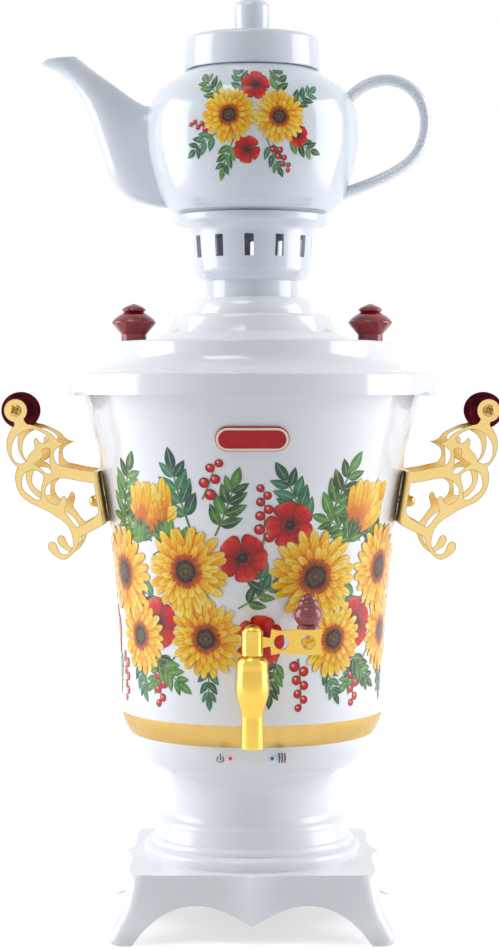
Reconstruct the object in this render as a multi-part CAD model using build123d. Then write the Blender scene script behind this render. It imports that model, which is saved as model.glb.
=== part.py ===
"""Electric samovar: a flared steel tank on a moulded plastic base with four legs, a tap with a flat
lever, two filigree side handles, a stepped lid, a slotted crown stand and a teapot on top.

Millimetres. +Z is up, the tap faces -Y, and the origin is on the ground under the middle of the base.
Each sub-part has its own function, and all of them take their sizes from the values below.
"""

import os
from math import atan2, cos, degrees, hypot, pi, radians, sin, sqrt

from build123d import *

# ---------------------------------------------------------------- clearances
FIT_GAP = 0.1           # radial gap of a fixed piece in its hole or seat
RUN_GAP = 0.07          # radial gap of a turning stem in its bore
PART_GAP = 0.3          # gap between curved faces that lie along each other
LID_GAP = 0.8           # radial gap of a lift-off lid round its seat
OVERCUT = 1.0           # how far a cutting tool runs past the face it cuts

# ---------------------------------------------------------------- tank
TANK_HEIGHT = 181.6     # trim band to the lid's skirt
TANK_BOTTOM_R = 75.5
TANK_RIM_R = 96.8       # at the lid's skirt
TANK_FLARE_POWER = 2.1  # how late the wall flares out
TANK_WALL = 1.2
TANK_COLLAR = 9.0       # wall that goes on up inside the lid's skirt
FLANGE_WIDTH = 5.0      # out-turned flange that carries the lid
FLOOR_RISE = 5.0        # tank floor above the bottom of the wall
FLOOR_THICK = 1.5

# ---------------------------------------------------------------- trim band
BAND_HEIGHT = 12.8
BAND_BOTTOM_R = 70.2
BAND_BULGE = 1.1        # how far the band's face stands out of a straight cone
BAND_WALL = 1.8

# ---------------------------------------------------------------- base housing
HOUSING_HEIGHT = 44.2
HOUSING_WALL = 2.6
NECK_R = 51.0
LOCATING_LIP = 3.0      # height of the lips that centre one piece in the next
LAMP_Z_BELOW_TOP = 5.9
LAMP_R = 2.0
LAMP_PROUD = 0.8        # how far a lamp stands out of the bowl
LAMP_X = {"led_red": -12.1, "led_blue": 11.0}
BOARD_SIZE = (36.0, 1.6, 11.0)
BOARD_DEPTH = 9.0       # board's front face behind the bowl's front
INLET_BOSS = (32.0, 22.0)
INLET_OPENING = (24.0, 16.0)
INLET_WALL = 1.7
INLET_DEPTH = 17.0
INLET_PROUD = 3.0       # boss face beyond the bowl
PIN_SIZE = (4.0, 2.0)
PIN_LENGTH = 11.0
PIN_PLACES = ((-7.0, -2.0), (0.0, 2.6), (7.0, -2.0))

# ---------------------------------------------------------------- base foot
FOOT_HEIGHT = 64.2
PLATE_Z = 37.4          # top of the square plate that the mouldings stand on
MOULDING_R = 62.6       # the widest of the round mouldings
FOOT_WALL = 2.8
WEB_Z = 58.5            # underside of the web that the tie bolt clamps
WEB_THICK = 2.5
CORNER_R = 9.0          # rounding of the four legs' upright corners
# half width over the legs and over the mid-side cusps at each height
SKIRT_LEVELS = (
    (PLATE_Z, 68.4, 73.8),
    (31.4, 68.9, 74.1),
    (25.3, 70.3, 75.3),
    (17.1, 73.0, 77.8),
    (10.0, 76.9, 80.5),
    (4.0, 79.5, 82.0),
    (0.8, 79.2, 82.0),
)
ARCH_FOOT_X = 66.4      # inner side of a leg at the ground
ARCH_PEAK = (29.0, 21.0)
ARCH_CUSP_Z = 11.4      # the skirt's lowest point at mid side
TOE_HEIGHT = 9.0        # solid end of each leg
PAD_R = 4.6
PAD_THICK = 2.4
PAD_INSET = 7.8         # pad centre from the leg's outer faces
SOLE_Z = 0.8
COVER_THICK = 2.0
COVER_Z = 25.0
COVER_SCREW_PLACE = 46.0
COVER_BOSS_R = 4.0

# ---------------------------------------------------------------- tie bolt and heating parts
TIE_R = 3.0
TIE_NUT_ACROSS = 10.0
TIE_NUT_THICK = 5.0
HEATER_RING_R = 46.0
HEATER_TUBE_R = 4.0
HEATER_RISE = 16.0      # ring's middle above the floor
HEATER_LEG_ANGLE = 16.0
HEATER_BEND_R = 9.0
HEATER_NUT_R = 8.5
HEATER_NUT_THICK = 4.0
HEATER_TAIL = 9.0
THERMOSTAT_R = 8.5
THERMOSTAT_HEIGHT = 9.0
THERMOSTAT_X = 27.0

# ---------------------------------------------------------------- tap
TAP_REACH = 25.04       # the tap's upright axis in front of the tank's wall
TAP_SHANK_RISE = 29.3   # shank's axis above the tank's bottom
TAP_SHANK_R = 6.0
TAP_PASSAGE_R = 3.2
TAP_BODY_R = 8.6
TAP_BELLY_R = 9.1
TAP_OUTLET_R = 6.1
TAP_OUTLET_DROP = 37.5  # outlet's mouth below the shank's axis
TAP_WAIST_DROP = 20.5
TAP_BODY_RISE = 6.9     # body's top above the shank's axis
TAP_BONNET_RISE = 12.5  # top of the bonnet, under the lever
TAP_PLUG_R = 5.2
TAP_STEM_R = 2.6
TAP_HUB_R = 5.8
TAP_HUB_HEIGHT = 12.4
TAP_CAP_HEIGHT = 4.2
TAP_COLLAR_R = 8.0
GASKET_THICK = 2.2
GASKET_R = 8.4
TAP_NUT_THICK = 5.0
TAP_NUT_ACROSS = 17.0
LEVER_THICK = 2.8
LEVER_START_X = 9.6
LEVER_END_X = 38.0
LEVER_HEIGHT = 14.2
LEVER_HOLE_R = 4.0
LEVER_HOLES_X = (15.6, 30.0)
LEVER_KNOB_X = 30.0
LEVER_KNOB_HEIGHT = 19.4
LEVER_KNOB_R = 7.6

# ---------------------------------------------------------------- side handles
GRIP_LENGTH = 56.8
GRIP_R = 10.7           # at its middle
GRIP_END_R = 7.8
GRIP_REACH = 37.1       # grip's axis beyond the tank's rim
GRIP_DROP = 8.8         # grip's axis below the lid
GRIP_BEAD = 2.1         # width of a bead at a grip's ends
FRAME_THICK = 2.2       # the sheet that cheeks and strap are bent from
FRAME_BEND_R = 3.0
STRAP_BAR = 3.2         # width of the sheet that is left along the strap, seen from the side
EYE_R = 6.6
GRIP_SCREW_R = 2.2
SCREW_HEAD_R = 3.6
STRAP_TOP_DROP = 34.6   # strap's upper end below the grip's axis
STRAP_BOTTOM_DROP = 64.0
HANDLE_BOLT_DROP = 51.6
HANDLE_BOLT_R = 2.0
ACORN_R = 4.4

# ---------------------------------------------------------------- samovar lid
LID_WALL = 1.2
LID_SKIRT_GAP = 0.42    # skirt's inside to the tank's flange
LID_SKIRT_HEIGHT = 11.0
LID_PLATEAU = 30.7      # the plateau's height above the skirt's lower edge
LID_TOP = 55.8          # the lid's highest face above the skirt's lower edge
VENT_STEP = 2.8         # vent's radius inside the stand's neck
LID_KNOB_X = 68.4
LID_KNOB_HEIGHT = 22.2
LID_KNOB_R = 12.7
LID_SCREW_R = 2.0

# ---------------------------------------------------------------- crown stand
STAND_HEIGHT = 47.5
STAND_NECK_R = 26.6
STAND_BELL_R = 34.9     # the slotted wall, at its top
STAND_RIM_LIP = 1.8     # width of the rim round the teapot's seat
STAND_WALL = 2.2
STAND_SPIGOT = 6.0
SEAT_DEPTH = 3.0        # teapot seat below the stand's rim
SLOT_COUNT = 12
SLOT_WIDTH = 5.4
SLOT_START_ANGLE = -3.0
SLOT_LEVELS = (22.8, 35.3)

# ---------------------------------------------------------------- teapot
POT_WALL = 3.2
POT_FOOT_R = 41.2
POT_BELLY_R = 61.1
POT_BELLY_Z = 51.0      # widest level above the pot's foot
POT_MOUTH_R = 30.5
POT_HEIGHT = 91.1
POT_LID_R = 39.1
POT_LID_HEIGHT = 14.4   # flat top above the pot's mouth
POT_LID_CLEAR = 1.4     # the skirt's underside over the pot's shoulder
POT_KNOB_HEIGHT = 22.2
POT_KNOB_R = 10.5
POT_PLUG_DEPTH = 7.0    # lid's ring inside the pot's mouth
SPOUT_WALL = 2.6
STRAINER_HOLE_R = 2.2
POT_HANDLE_DEPTH = 12.8
POT_HANDLE_THICK = 6.7

# ---------------------------------------------------------------- badge
BADGE_DROP = 23.8       # badge's middle below the lid
BADGE_SIZE = (40.3, 13.5)
BADGE_THICK = 1.0

# ---------------------------------------------------------------- levels that follow
PIECE_Z = {"housing": FOOT_HEIGHT}
PIECE_Z["band"] = PIECE_Z["housing"] + HOUSING_HEIGHT
PIECE_Z["tank"] = PIECE_Z["band"] + BAND_HEIGHT
PIECE_Z["lid"] = PIECE_Z["tank"] + TANK_HEIGHT
PIECE_Z["plateau"] = PIECE_Z["lid"] + LID_PLATEAU
PIECE_Z["stand"] = PIECE_Z["lid"] + LID_TOP
PIECE_Z["rim"] = PIECE_Z["stand"] + STAND_HEIGHT
PIECE_Z["pot"] = PIECE_Z["rim"] - SEAT_DEPTH
PIECE_Z["pot_lid"] = PIECE_Z["pot"] + POT_HEIGHT
FLOOR_Z = PIECE_Z["tank"] + FLOOR_RISE
TAP_SHANK_Z = PIECE_Z["tank"] + TAP_SHANK_RISE
TAP_OUTLET_Z = TAP_SHANK_Z - TAP_OUTLET_DROP
TAP_WAIST_Z = TAP_SHANK_Z - TAP_WAIST_DROP
TAP_BODY_TOP_Z = TAP_SHANK_Z + TAP_BODY_RISE
TAP_TOP_Z = TAP_SHANK_Z + TAP_BONNET_RISE
EYE_X = TANK_RIM_R + GRIP_REACH
EYE_Z = PIECE_Z["lid"] - GRIP_DROP
STRAP_TOP_Z = EYE_Z - STRAP_TOP_DROP
STRAP_BOTTOM_Z = EYE_Z - STRAP_BOTTOM_DROP
HANDLE_BOLT_Z = EYE_Z - HANDLE_BOLT_DROP
BADGE_Z = PIECE_Z["lid"] - BADGE_DROP
VENT_R = STAND_NECK_R - VENT_STEP
STAND_RIM_R = POT_FOOT_R + 2 * LID_GAP + STAND_RIM_LIP


# ================================================================ drawing helpers
def stroke_edge(stroke):
    """Two points are a line, three an arc through the middle one, more a smooth curve."""
    if len(stroke) == 2:
        return Line(*stroke)
    if len(stroke) == 3:
        return ThreePointArc(*stroke)
    return Spline(*stroke)


def outline(strokes):
    """Flat face inside a closed chain of strokes."""
    return make_face([stroke_edge(stroke) for stroke in strokes])


def left_normal(edge, point):
    """Unit normal to the left of an edge's run, at a point on it."""
    tangent = edge.tangent_at(Vector(*point))
    return (-tangent.Y, tangent.X)


def mitre(first, second):
    """Shift that keeps both neighbouring strokes at unit distance."""
    scale = 1 / (1 + first[0] * second[0] + first[1] * second[1])
    return ((first[0] + second[0]) * scale, (first[1] + second[1]) * scale)


def inset(strokes, depth):
    """The same open chain of strokes, moved depth to the left of its run."""
    normals = []
    for stroke in strokes:
        edge = stroke_edge(stroke)
        normals.append([left_normal(edge, point) for point in stroke])
    moved = []
    for index, stroke in enumerate(strokes):
        shifts = list(normals[index])
        if index > 0:
            shifts[0] = mitre(normals[index - 1][-1], normals[index][0])
        if index + 1 < len(strokes):
            shifts[-1] = mitre(normals[index][-1], normals[index + 1][0])
        points = [(point[0] + depth * shift[0], point[1] + depth * shift[1])
                  for point, shift in zip(stroke, shifts)]
        moved.append(points)
    return moved


def reverse(strokes):
    """The chain run the other way."""
    return [list(reversed(stroke)) for stroke in reversed(strokes)]


def closed(*chains):
    """One closed chain: the given chains in turn, joined end to start by straight lines."""
    strokes = []
    for index, chain in enumerate(chains):
        strokes += chain
        start = chains[(index + 1) % len(chains)][0][0]
        end = chain[-1][-1]
        if hypot(end[0] - start[0], end[1] - start[1]) > 1e-6:
            strokes.append([end, start])
    return strokes


def dome(radius, low, high):
    """Round cap drawn from its rim to the axis."""
    rise = high - low
    ball = (radius ** 2 + rise ** 2) / (2 * rise)
    half = 0.5 * atan2(radius, ball - rise)
    return [(radius, low), (ball * sin(half), high - ball * (1 - cos(half))), (0, high)]


def path_of(*points):
    """Chain of straight lines through the points."""
    return [[first, second] for first, second in zip(points, points[1:])]


def turned(strokes):
    """Solid of revolution about Z from a closed chain of (radius, height) points."""
    return revolve(Plane.XZ * outline(strokes), Axis.Z)


def turned_wall(strokes, wall):
    """Shell of revolution with the given outer chain, which runs upward between two level ends."""
    inner = inset(strokes, wall)
    inner[0][0] = (inner[0][0][0], strokes[0][0][1])
    inner[-1][-1] = (inner[-1][-1][0], strokes[-1][-1][1])
    return turned(closed(strokes, reverse(inner)))


def turned_body(strokes):
    """Everything between the axis and an outer chain that runs upward."""
    return turned(closed(strokes, path_of((0, strokes[-1][-1][1]), (0, strokes[0][0][1]))))


def rod(radius, low, high, x=0.0, y=0.0):
    """Upright cylinder between two levels."""
    return Pos(x, y, low) * Cylinder(radius, high - low, align=(Align.CENTER, Align.CENTER, Align.MIN))


def tube(outer, inner, low, high, x=0.0, y=0.0):
    """Upright ring between two levels."""
    bore = rod(inner, low - OVERCUT, high + OVERCUT, x, y)
    return rod(outer, low, high, x, y) - bore


def rod_along(axis_x, axis_z, centre, radius, start, end):
    """Cylinder along a direction in the XZ plane, from start to end along it."""
    plane = Plane(origin=centre, x_dir=(0, 1, 0), z_dir=(axis_x, 0, axis_z))
    plane = plane.offset(start)
    return plane * Cylinder(radius, end - start, align=(Align.CENTER, Align.CENTER, Align.MIN))


def rod_y(radius, start, end, x, z):
    """Cylinder along Y between two Y values."""
    place = Pos(x, start, z) * Rot(-90, 0, 0)
    return place * Cylinder(radius, end - start, align=(Align.CENTER, Align.CENTER, Align.MIN))


def box(low, high):
    """Box between two corners."""
    size = [b - a for a, b in zip(low, high)]
    return Pos(*low) * Box(*size, align=(Align.MIN, Align.MIN, Align.MIN))


def mirrored(piece):
    """The same piece on the other side."""
    return mirror(piece, Plane.YZ)


# ================================================================ base foot
def arch_face():
    """Face under the two arches of one side, centred on the side."""
    peak_x, peak_z = ARCH_PEAK
    strokes = [
        [(-ARCH_FOOT_X, 0), (-0.86 * ARCH_FOOT_X, 0.52 * peak_z), (-peak_x - 9, peak_z - 0.6),
         (-peak_x, peak_z), (-10, ARCH_CUSP_Z + 4.4), (0, ARCH_CUSP_Z)],
        [(0, ARCH_CUSP_Z), (10, ARCH_CUSP_Z + 4.4), (peak_x, peak_z), (peak_x + 9, peak_z - 0.6),
         (0.86 * ARCH_FOOT_X, 0.52 * peak_z), (ARCH_FOOT_X, 0)],
        *path_of((ARCH_FOOT_X, 0), (ARCH_FOOT_X, -OVERCUT), (-ARCH_FOOT_X, -OVERCUT), (-ARCH_FOOT_X, 0)),
    ]
    return outline(strokes)


def skirt_section(level, wall):
    """Square plan with rounded corners and a pointed cusp at the middle of each side."""
    height, corner, cusp = level
    corner = corner - wall
    cusp = cusp - wall
    radius = CORNER_R - 0.7 * wall
    flat = corner - radius
    swell = cusp - corner
    bevel = radius * (1 - cos(pi / 4))
    side = [
        [(corner, -flat), (corner + 0.04 * swell, -0.55 * flat), (corner + 0.22 * swell, -13.0),
         (corner + 0.62 * swell, -5.0), (cusp, 0)],
        [(cusp, 0), (corner + 0.62 * swell, 5.0), (corner + 0.22 * swell, 13.0),
         (corner + 0.04 * swell, 0.55 * flat), (corner, flat)],
        [(corner, flat), (corner - bevel, corner - bevel), (flat, corner)],
    ]
    edges = []
    for turn in range(4):
        edges += [Rot(0, 0, 90 * turn) * stroke_edge(stroke) for stroke in side]
    return Pos(0, 0, height) * make_face(edges)


def skirt_body(wall, low, high):
    """The flaring square body, inset by a wall, between two levels."""
    sections = [skirt_section(level, wall) for level in SKIRT_LEVELS]
    body = loft(sections)
    return body & box((-100, -100, low), (100, 100, high))


def moulding_strokes():
    """Outer line of the round mouldings, from the plate up to the housing."""
    rise = FOOT_HEIGHT - PLATE_Z
    width = MOULDING_R - NECK_R

    def at(outward, upward):
        return (NECK_R + outward * width, PLATE_Z + upward * rise)

    return [
        [at(1, 0), at(1, 0.12)],
        [at(1, 0.12), at(0.93, 0.21), at(0.75, 0.25)],
        [at(0.75, 0.25), at(0.62, 0.275)],
        [at(0.62, 0.275), at(0.6, 0.37), at(0.45, 0.43)],
        [at(0.45, 0.43), at(0.35, 0.7)],
        [at(0.35, 0.7), at(0.3, 0.8), at(0.15, 0.86)],
        [at(0.15, 0.86), at(0.04, 0.92), at(0, 1)],
    ]


def leg_places(inset_by):
    """The four places at a distance in from the legs' outer faces."""
    reach = SKIRT_LEVELS[-1][1] - inset_by
    return [(sx * reach, sy * reach) for sx in (-1, 1) for sy in (-1, 1)]


def screw_places():
    """The four places of the bottom cover's screws."""
    return [(sx * COVER_SCREW_PLACE, sy * COVER_SCREW_PLACE) for sx in (-1, 1) for sy in (-1, 1)]


def base_foot():
    """Round mouldings, square plate, arched skirt and four hollow legs in one moulding."""
    skirt = skirt_body(0, SOLE_Z, PLATE_Z)
    hollow = skirt_body(FOOT_WALL, TOE_HEIGHT, PLATE_Z - FOOT_WALL)
    arch = extrude(Plane.XZ * arch_face(), 100, both=True)
    skirt = skirt - hollow - arch - Rot(0, 0, 90) * arch
    rings = turned_wall(moulding_strokes(), FOOT_WALL)
    throat = rod(MOULDING_R - FOOT_WALL, PLATE_Z - FOOT_WALL - OVERCUT, PLATE_Z + OVERCUT)
    web = tube(NECK_R, TIE_R + FIT_GAP, WEB_Z, WEB_Z + WEB_THICK)
    foot = (skirt - throat) + rings + (web & turned_body(moulding_strokes()))
    for x, y in screw_places():
        foot = foot + rod(COVER_BOSS_R, COVER_Z + COVER_THICK, PLATE_Z - FOOT_WALL + 0.5, x, y)
        foot = foot - rod(1.5, COVER_Z, PLATE_Z - FOOT_WALL - 1.5, x, y)
    for x, y in leg_places(PAD_INSET):
        foot = foot - rod(PAD_R + FIT_GAP, 0, PAD_THICK, x, y)
    return foot


def foot_pads():
    """Four rubber discs let into the soles."""
    pads = []
    for x, y in leg_places(PAD_INSET):
        pad = rod(PAD_R, 0, PAD_THICK, x, y)
        pads.append(chamfer(pad.edges().group_by(Axis.Z)[0], 0.4))
    return pads


def bottom_cover():
    """Flat cover inside the skirt, with rows of air slots."""
    section = skirt_section(SKIRT_LEVELS[0], FOOT_WALL + 4.0)
    plate = extrude(Pos(0, 0, COVER_Z - SKIRT_LEVELS[0][0]) * section, COVER_THICK)
    for row in range(-2, 3):
        slot = extrude(Pos(row * 9.0, 0, COVER_Z - OVERCUT) * SlotOverall(36.0, 3.4, rotation=90), 4.0)
        plate = plate - Pos(0, 28, 0) * slot - Pos(0, -28, 0) * slot
    for x, y in screw_places():
        plate = plate - rod(1.7, COVER_Z - OVERCUT, COVER_Z + COVER_THICK + OVERCUT, x, y)
    return plate


def cover_screws():
    """Four round-head screws up through the bottom cover."""
    screws = []
    for x, y in screw_places():
        head = rod(3.2, COVER_Z - 1.8, COVER_Z)
        shank = rod(1.4, COVER_Z - 0.5, PLATE_Z - FOOT_WALL - 2.5)
        screws.append(Pos(x, y, 0) * (head + shank))
    return screws


# ================================================================ base housing
def housing_strokes():
    """Outer line of the neck and the bowl."""
    low = PIECE_Z["housing"]
    high = low + HOUSING_HEIGHT
    top_r = BAND_BOTTOM_R

    def at(outward, upward):
        return (NECK_R + outward * (top_r - NECK_R), low + upward * HOUSING_HEIGHT)

    return [
        [(NECK_R, low), at(0, 0.158)],
        [at(0, 0.158), at(0.01, 0.285), at(0.05, 0.385), at(0.17, 0.489)],
        [at(0.17, 0.489), at(0.37, 0.55), at(0.67, 0.633), at(0.88, 0.751), at(0.975, 0.869), (top_r, high)],
    ]


def bowl_radius(level):
    """Outer radius of the bowl at a level, read off its outer line."""
    bowl = stroke_edge(housing_strokes()[-1])
    crossing = bowl.find_intersection_points(Axis((0, level, 0), (1, 0, 0)))
    return max(point.X for point in crossing)


def lamp_level():
    """Height of the indicator lamps."""
    return PIECE_Z["band"] - LAMP_Z_BELOW_TOP


def board_front():
    """Y of the board face that carries the lamps."""
    return -(bowl_radius(lamp_level()) - BOARD_DEPTH)


def inlet_level():
    """Height of the power inlet's middle."""
    return PIECE_Z["band"] - INLET_BOSS[1] / 2 - 0.6


def inlet_face():
    """Y of the power inlet's outer face."""
    return BAND_BOTTOM_R + INLET_PROUD


def inlet_block(size, start, end, radius):
    """Upright rounded block along Y at the inlet's place."""
    face = Pos(0, 0, 0) * RectangleRounded(size[0], size[1], radius)
    plane = Plane(origin=(0, start, inlet_level()), x_dir=(1, 0, 0), z_dir=(0, 1, 0))
    return extrude(plane * face, end - start)


def base_housing():
    """Neck and bowl in one shell, with lamp holes, board posts and the inlet's boss."""
    strokes = housing_strokes()
    shell = turned_wall(strokes, HOUSING_WALL)
    solid = turned_body(strokes)
    low, high = PIECE_Z["housing"], PIECE_Z["band"]
    lip_r = NECK_R - FOOT_WALL - FIT_GAP
    lower_lip = tube(lip_r, lip_r - 1.6, low - LOCATING_LIP, low + LOCATING_LIP)
    lower_lip = lower_lip + (tube(NECK_R - 0.5, lip_r - 1.6, low, low + LOCATING_LIP) & solid)
    top_r = BAND_BOTTOM_R - BAND_WALL - FIT_GAP
    upper_lip = tube(top_r, top_r - 1.6, high - LOCATING_LIP, high + LOCATING_LIP)
    shell = shell + lower_lip + upper_lip
    for x in (-15.6, 15.6):
        post = rod_y(2.0, -BAND_BOTTOM_R, board_front(), x, lamp_level() - 2.4)
        shell = shell + (post & solid)
    boss_start = inlet_face() - INLET_DEPTH - INLET_WALL
    boss = inlet_block(INLET_BOSS, boss_start, inlet_face(), 3.0)
    seat = (INLET_OPENING[0] + 2 * INLET_WALL, INLET_OPENING[1] + 2 * INLET_WALL)
    seat_hole = inlet_block((seat[0] + 2 * FIT_GAP, seat[1] + 2 * FIT_GAP), boss_start - 20,
                            inlet_face() + OVERCUT, 2.0)
    shell = (shell + boss) - seat_hole
    for x in LAMP_X.values():
        shell = shell - rod_y(LAMP_R + FIT_GAP, -BAND_BOTTOM_R - 5, board_front() + OVERCUT, x, lamp_level())
    return shell


def power_inlet():
    """Socket shell of the power inlet, open at the back of the bowl."""
    outer = (INLET_OPENING[0] + 2 * INLET_WALL, INLET_OPENING[1] + 2 * INLET_WALL)
    start = inlet_face() - INLET_DEPTH - INLET_WALL
    body = inlet_block(outer, start, inlet_face() - 0.4, 2.0)
    hollow = inlet_block(INLET_OPENING, start + INLET_WALL, inlet_face() + OVERCUT, 1.5)
    body = body - hollow
    for x, z in PIN_PLACES:
        body = body - inlet_pin(x, z, FIT_GAP)
    return body


def inlet_pin(x, z, grow=0.0):
    """One flat contact pin, from the terminals behind the socket to its tip."""
    start = inlet_face() - INLET_DEPTH - INLET_WALL - 6.0
    end = inlet_face() - INLET_DEPTH + PIN_LENGTH
    middle = inlet_level() + z
    low = (x - PIN_SIZE[1] / 2 - grow, start - grow, middle - PIN_SIZE[0] / 2 - grow)
    high = (x + PIN_SIZE[1] / 2 + grow, end, middle + PIN_SIZE[0] / 2 + grow)
    return box(low, high)


def inlet_pins():
    """Three contact pins."""
    return [inlet_pin(x, z) for x, z in PIN_PLACES]


def indicator_board():
    """Small upright circuit board behind the lamps."""
    width, thick, height = BOARD_SIZE
    low = (-width / 2, board_front(), lamp_level() - height / 2 - 1.2)
    return box(low, (low[0] + width, low[1] + thick, low[2] + height))


def lamp(x):
    """One round-nosed lamp from the board out through the bowl."""
    front = -sqrt(bowl_radius(lamp_level()) ** 2 - x ** 2) - LAMP_PROUD
    body = rod_y(LAMP_R, front, board_front(), x, lamp_level())
    return fillet(body.edges().sort_by(Axis.Y)[0], 0.45 * LAMP_R)


# ================================================================ trim band
def trim_band():
    """Convex metal band between the tank and the base housing."""
    low, high = PIECE_Z["band"], PIECE_Z["tank"]
    middle = ((BAND_BOTTOM_R + TANK_BOTTOM_R) / 2 + BAND_BULGE, (low + high) / 2)
    return turned_wall([[(BAND_BOTTOM_R, low), middle, (TANK_BOTTOM_R, high)]], BAND_WALL)


# ================================================================ tank
def tank_radius(level):
    """Outer radius of the tank's wall at a level."""
    share = max(0.0, (level - PIECE_Z["tank"]) / TANK_HEIGHT)
    return TANK_BOTTOM_R + (TANK_RIM_R - TANK_BOTTOM_R) * share ** TANK_FLARE_POWER


def tank_strokes(low, high, steps=6, grow=0.0):
    """Outer line of the wall between two levels, grown outward."""
    points = []
    for step in range(steps + 1):
        level = low + (high - low) * step / steps
        points.append((tank_radius(level) + grow, level))
    return [points]


def tank_envelope(low, high, grow):
    """Solid inside the wall's outer face, grown outward."""
    return turned_body(tank_strokes(low, high, 3, grow))


def strap_lean():
    """How much wider the tank gets per millimetre of height, along a handle's strap."""
    return (tank_radius(STRAP_TOP_Z) - tank_radius(STRAP_BOTTOM_Z)) / (STRAP_TOP_Z - STRAP_BOTTOM_Z)


def handle_bolt_plane(side):
    """Plane at a handle's bolt, on the strap's tank side and square to it, looking outward."""
    lean = strap_lean()
    face = tank_radius(STRAP_TOP_Z) + FIT_GAP - lean * (STRAP_TOP_Z - HANDLE_BOLT_Z)
    return Plane(origin=(side * face, 0, HANDLE_BOLT_Z), x_dir=(0, side, 0), z_dir=(side, 0, -lean))


def tank_shell():
    """Flared wall with an out-turned flange under the lid."""
    low = PIECE_Z["tank"]
    top = PIECE_Z["lid"] + TANK_COLLAR
    outer = tank_strokes(low, top)
    wall = turned(closed(outer, reverse(tank_strokes(low, top, grow=-TANK_WALL))))
    flange_r = tank_radius(top) + FLANGE_WIDTH
    flange = tube(flange_r, tank_radius(top) - TANK_WALL, top - TANK_WALL, top)
    wall = wall + flange
    wall = wall - rod_y(TAP_SHANK_R + FIT_GAP, -TANK_RIM_R, 0, 0, TAP_SHANK_Z)
    for side in (-1, 1):
        hole = Cylinder(HANDLE_BOLT_R + FIT_GAP, 12)
        wall = wall - handle_bolt_plane(side) * hole
    return wall


def heater_places():
    """Where the heating tube's two legs pass through the floor."""
    return [(HEATER_RING_R * sin(radians(turn)), HEATER_RING_R * cos(radians(turn)))
            for turn in (-HEATER_LEG_ANGLE, HEATER_LEG_ANGLE)]


def tank_floor():
    """Pan with a turned-down edge, with holes for the heating tube and the tie bolt."""
    radius = TANK_BOTTOM_R - TANK_WALL - FIT_GAP
    low = PIECE_Z["tank"]
    pan = rod(radius, low, FLOOR_Z) - rod(radius - FLOOR_THICK, low - OVERCUT, FLOOR_Z - FLOOR_THICK)
    pan = pan - rod(TIE_R + FIT_GAP, low, FLOOR_Z + OVERCUT)
    for x, y in heater_places():
        pan = pan - rod(HEATER_TUBE_R + FIT_GAP, low, FLOOR_Z + OVERCUT, x, y)
    return pan


def heating_element():
    """Ring of heating tube with two legs bent down through the floor."""
    ring_z = FLOOR_Z + HEATER_RISE
    low = FLOOR_Z - FLOOR_THICK - HEATER_NUT_THICK - HEATER_TAIL
    bend = HEATER_BEND_R
    turn = degrees(bend / HEATER_RING_R)

    def on_ring(angle, level):
        return (HEATER_RING_R * sin(radians(angle)), HEATER_RING_R * cos(radians(angle)), level)

    def leg(side):
        start = side * HEATER_LEG_ANGLE
        end_angle = start + side * turn
        foot = on_ring(start, low)
        knee = on_ring(start, ring_z - bend)
        end = on_ring(end_angle, ring_z)
        along = (side * cos(radians(end_angle)), -side * sin(radians(end_angle)), 0)
        return Line(foot, knee), Spline(knee, end, tangents=[(0, 0, 1), along]), end

    left_line, left_bend, left_end = leg(-1)
    right_line, right_bend, right_end = leg(1)
    ring = ThreePointArc(left_end, on_ring(180, ring_z), right_end)
    spine = Wire([left_line, left_bend, ring, right_bend, right_line])
    section = Plane(origin=spine @ 0, z_dir=spine % 0) * Circle(HEATER_TUBE_R)
    return sweep(section, path=spine, transition=Transition.ROUND)


def heater_nuts():
    """Flange nuts that clamp the heating tube under the floor, and its collars above it."""
    nuts = []
    for x, y in heater_places():
        under = FLOOR_Z - FLOOR_THICK
        across = 2 * HEATER_NUT_R * cos(pi / 6)
        nut = extrude(Pos(x, y, under - HEATER_NUT_THICK) * RegularPolygon(across / 2, 6, major_radius=False),
                      HEATER_NUT_THICK)
        nuts.append(nut - rod(HEATER_TUBE_R + FIT_GAP, under - 9, under + OVERCUT, x, y))
        nuts.append(tube(HEATER_TUBE_R + 3.0, HEATER_TUBE_R + FIT_GAP, FLOOR_Z, FLOOR_Z + 2.5, x, y))
    return nuts


def thermostat():
    """Round snap thermostat held to the floor's underside."""
    under = FLOOR_Z - FLOOR_THICK
    body = rod(THERMOSTAT_R, under - THERMOSTAT_HEIGHT, under, THERMOSTAT_X)
    rim = rod(THERMOSTAT_R + 3.0, under - 1.2, under, THERMOSTAT_X)
    tabs = box((THERMOSTAT_X - 5.0, -3.0, under - THERMOSTAT_HEIGHT - 6.0),
               (THERMOSTAT_X - 4.2, 3.0, under - THERMOSTAT_HEIGHT))
    return body + rim + tabs + Pos(9.2, 0, 0) * tabs


def thermal_fuse():
    """Small fuse barrel in its clip on the floor's underside."""
    under = FLOOR_Z - FLOOR_THICK
    barrel = Pos(-THERMOSTAT_X, 0, under - 3.6) * Rot(90, 0, 0) * Cylinder(2.6, 16.0)
    clip = box((-THERMOSTAT_X - 4.0, -4.0, under - 3.6), (-THERMOSTAT_X + 4.0, 4.0, under))
    return barrel + clip


def tie_bolt():
    """Bolt that clamps tank, band, housing and foot together."""
    low = WEB_Z - TIE_NUT_THICK - 4.0
    head = extrude(Pos(0, 0, FLOOR_Z) * RegularPolygon(TIE_NUT_ACROSS / 2, 6, major_radius=False), 4.0)
    seal = rod(TIE_NUT_ACROSS / 2 + 3.0, FLOOR_Z, FLOOR_Z + 1.2)
    return rod(TIE_R, low, FLOOR_Z + 4.0) + head + seal


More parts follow.
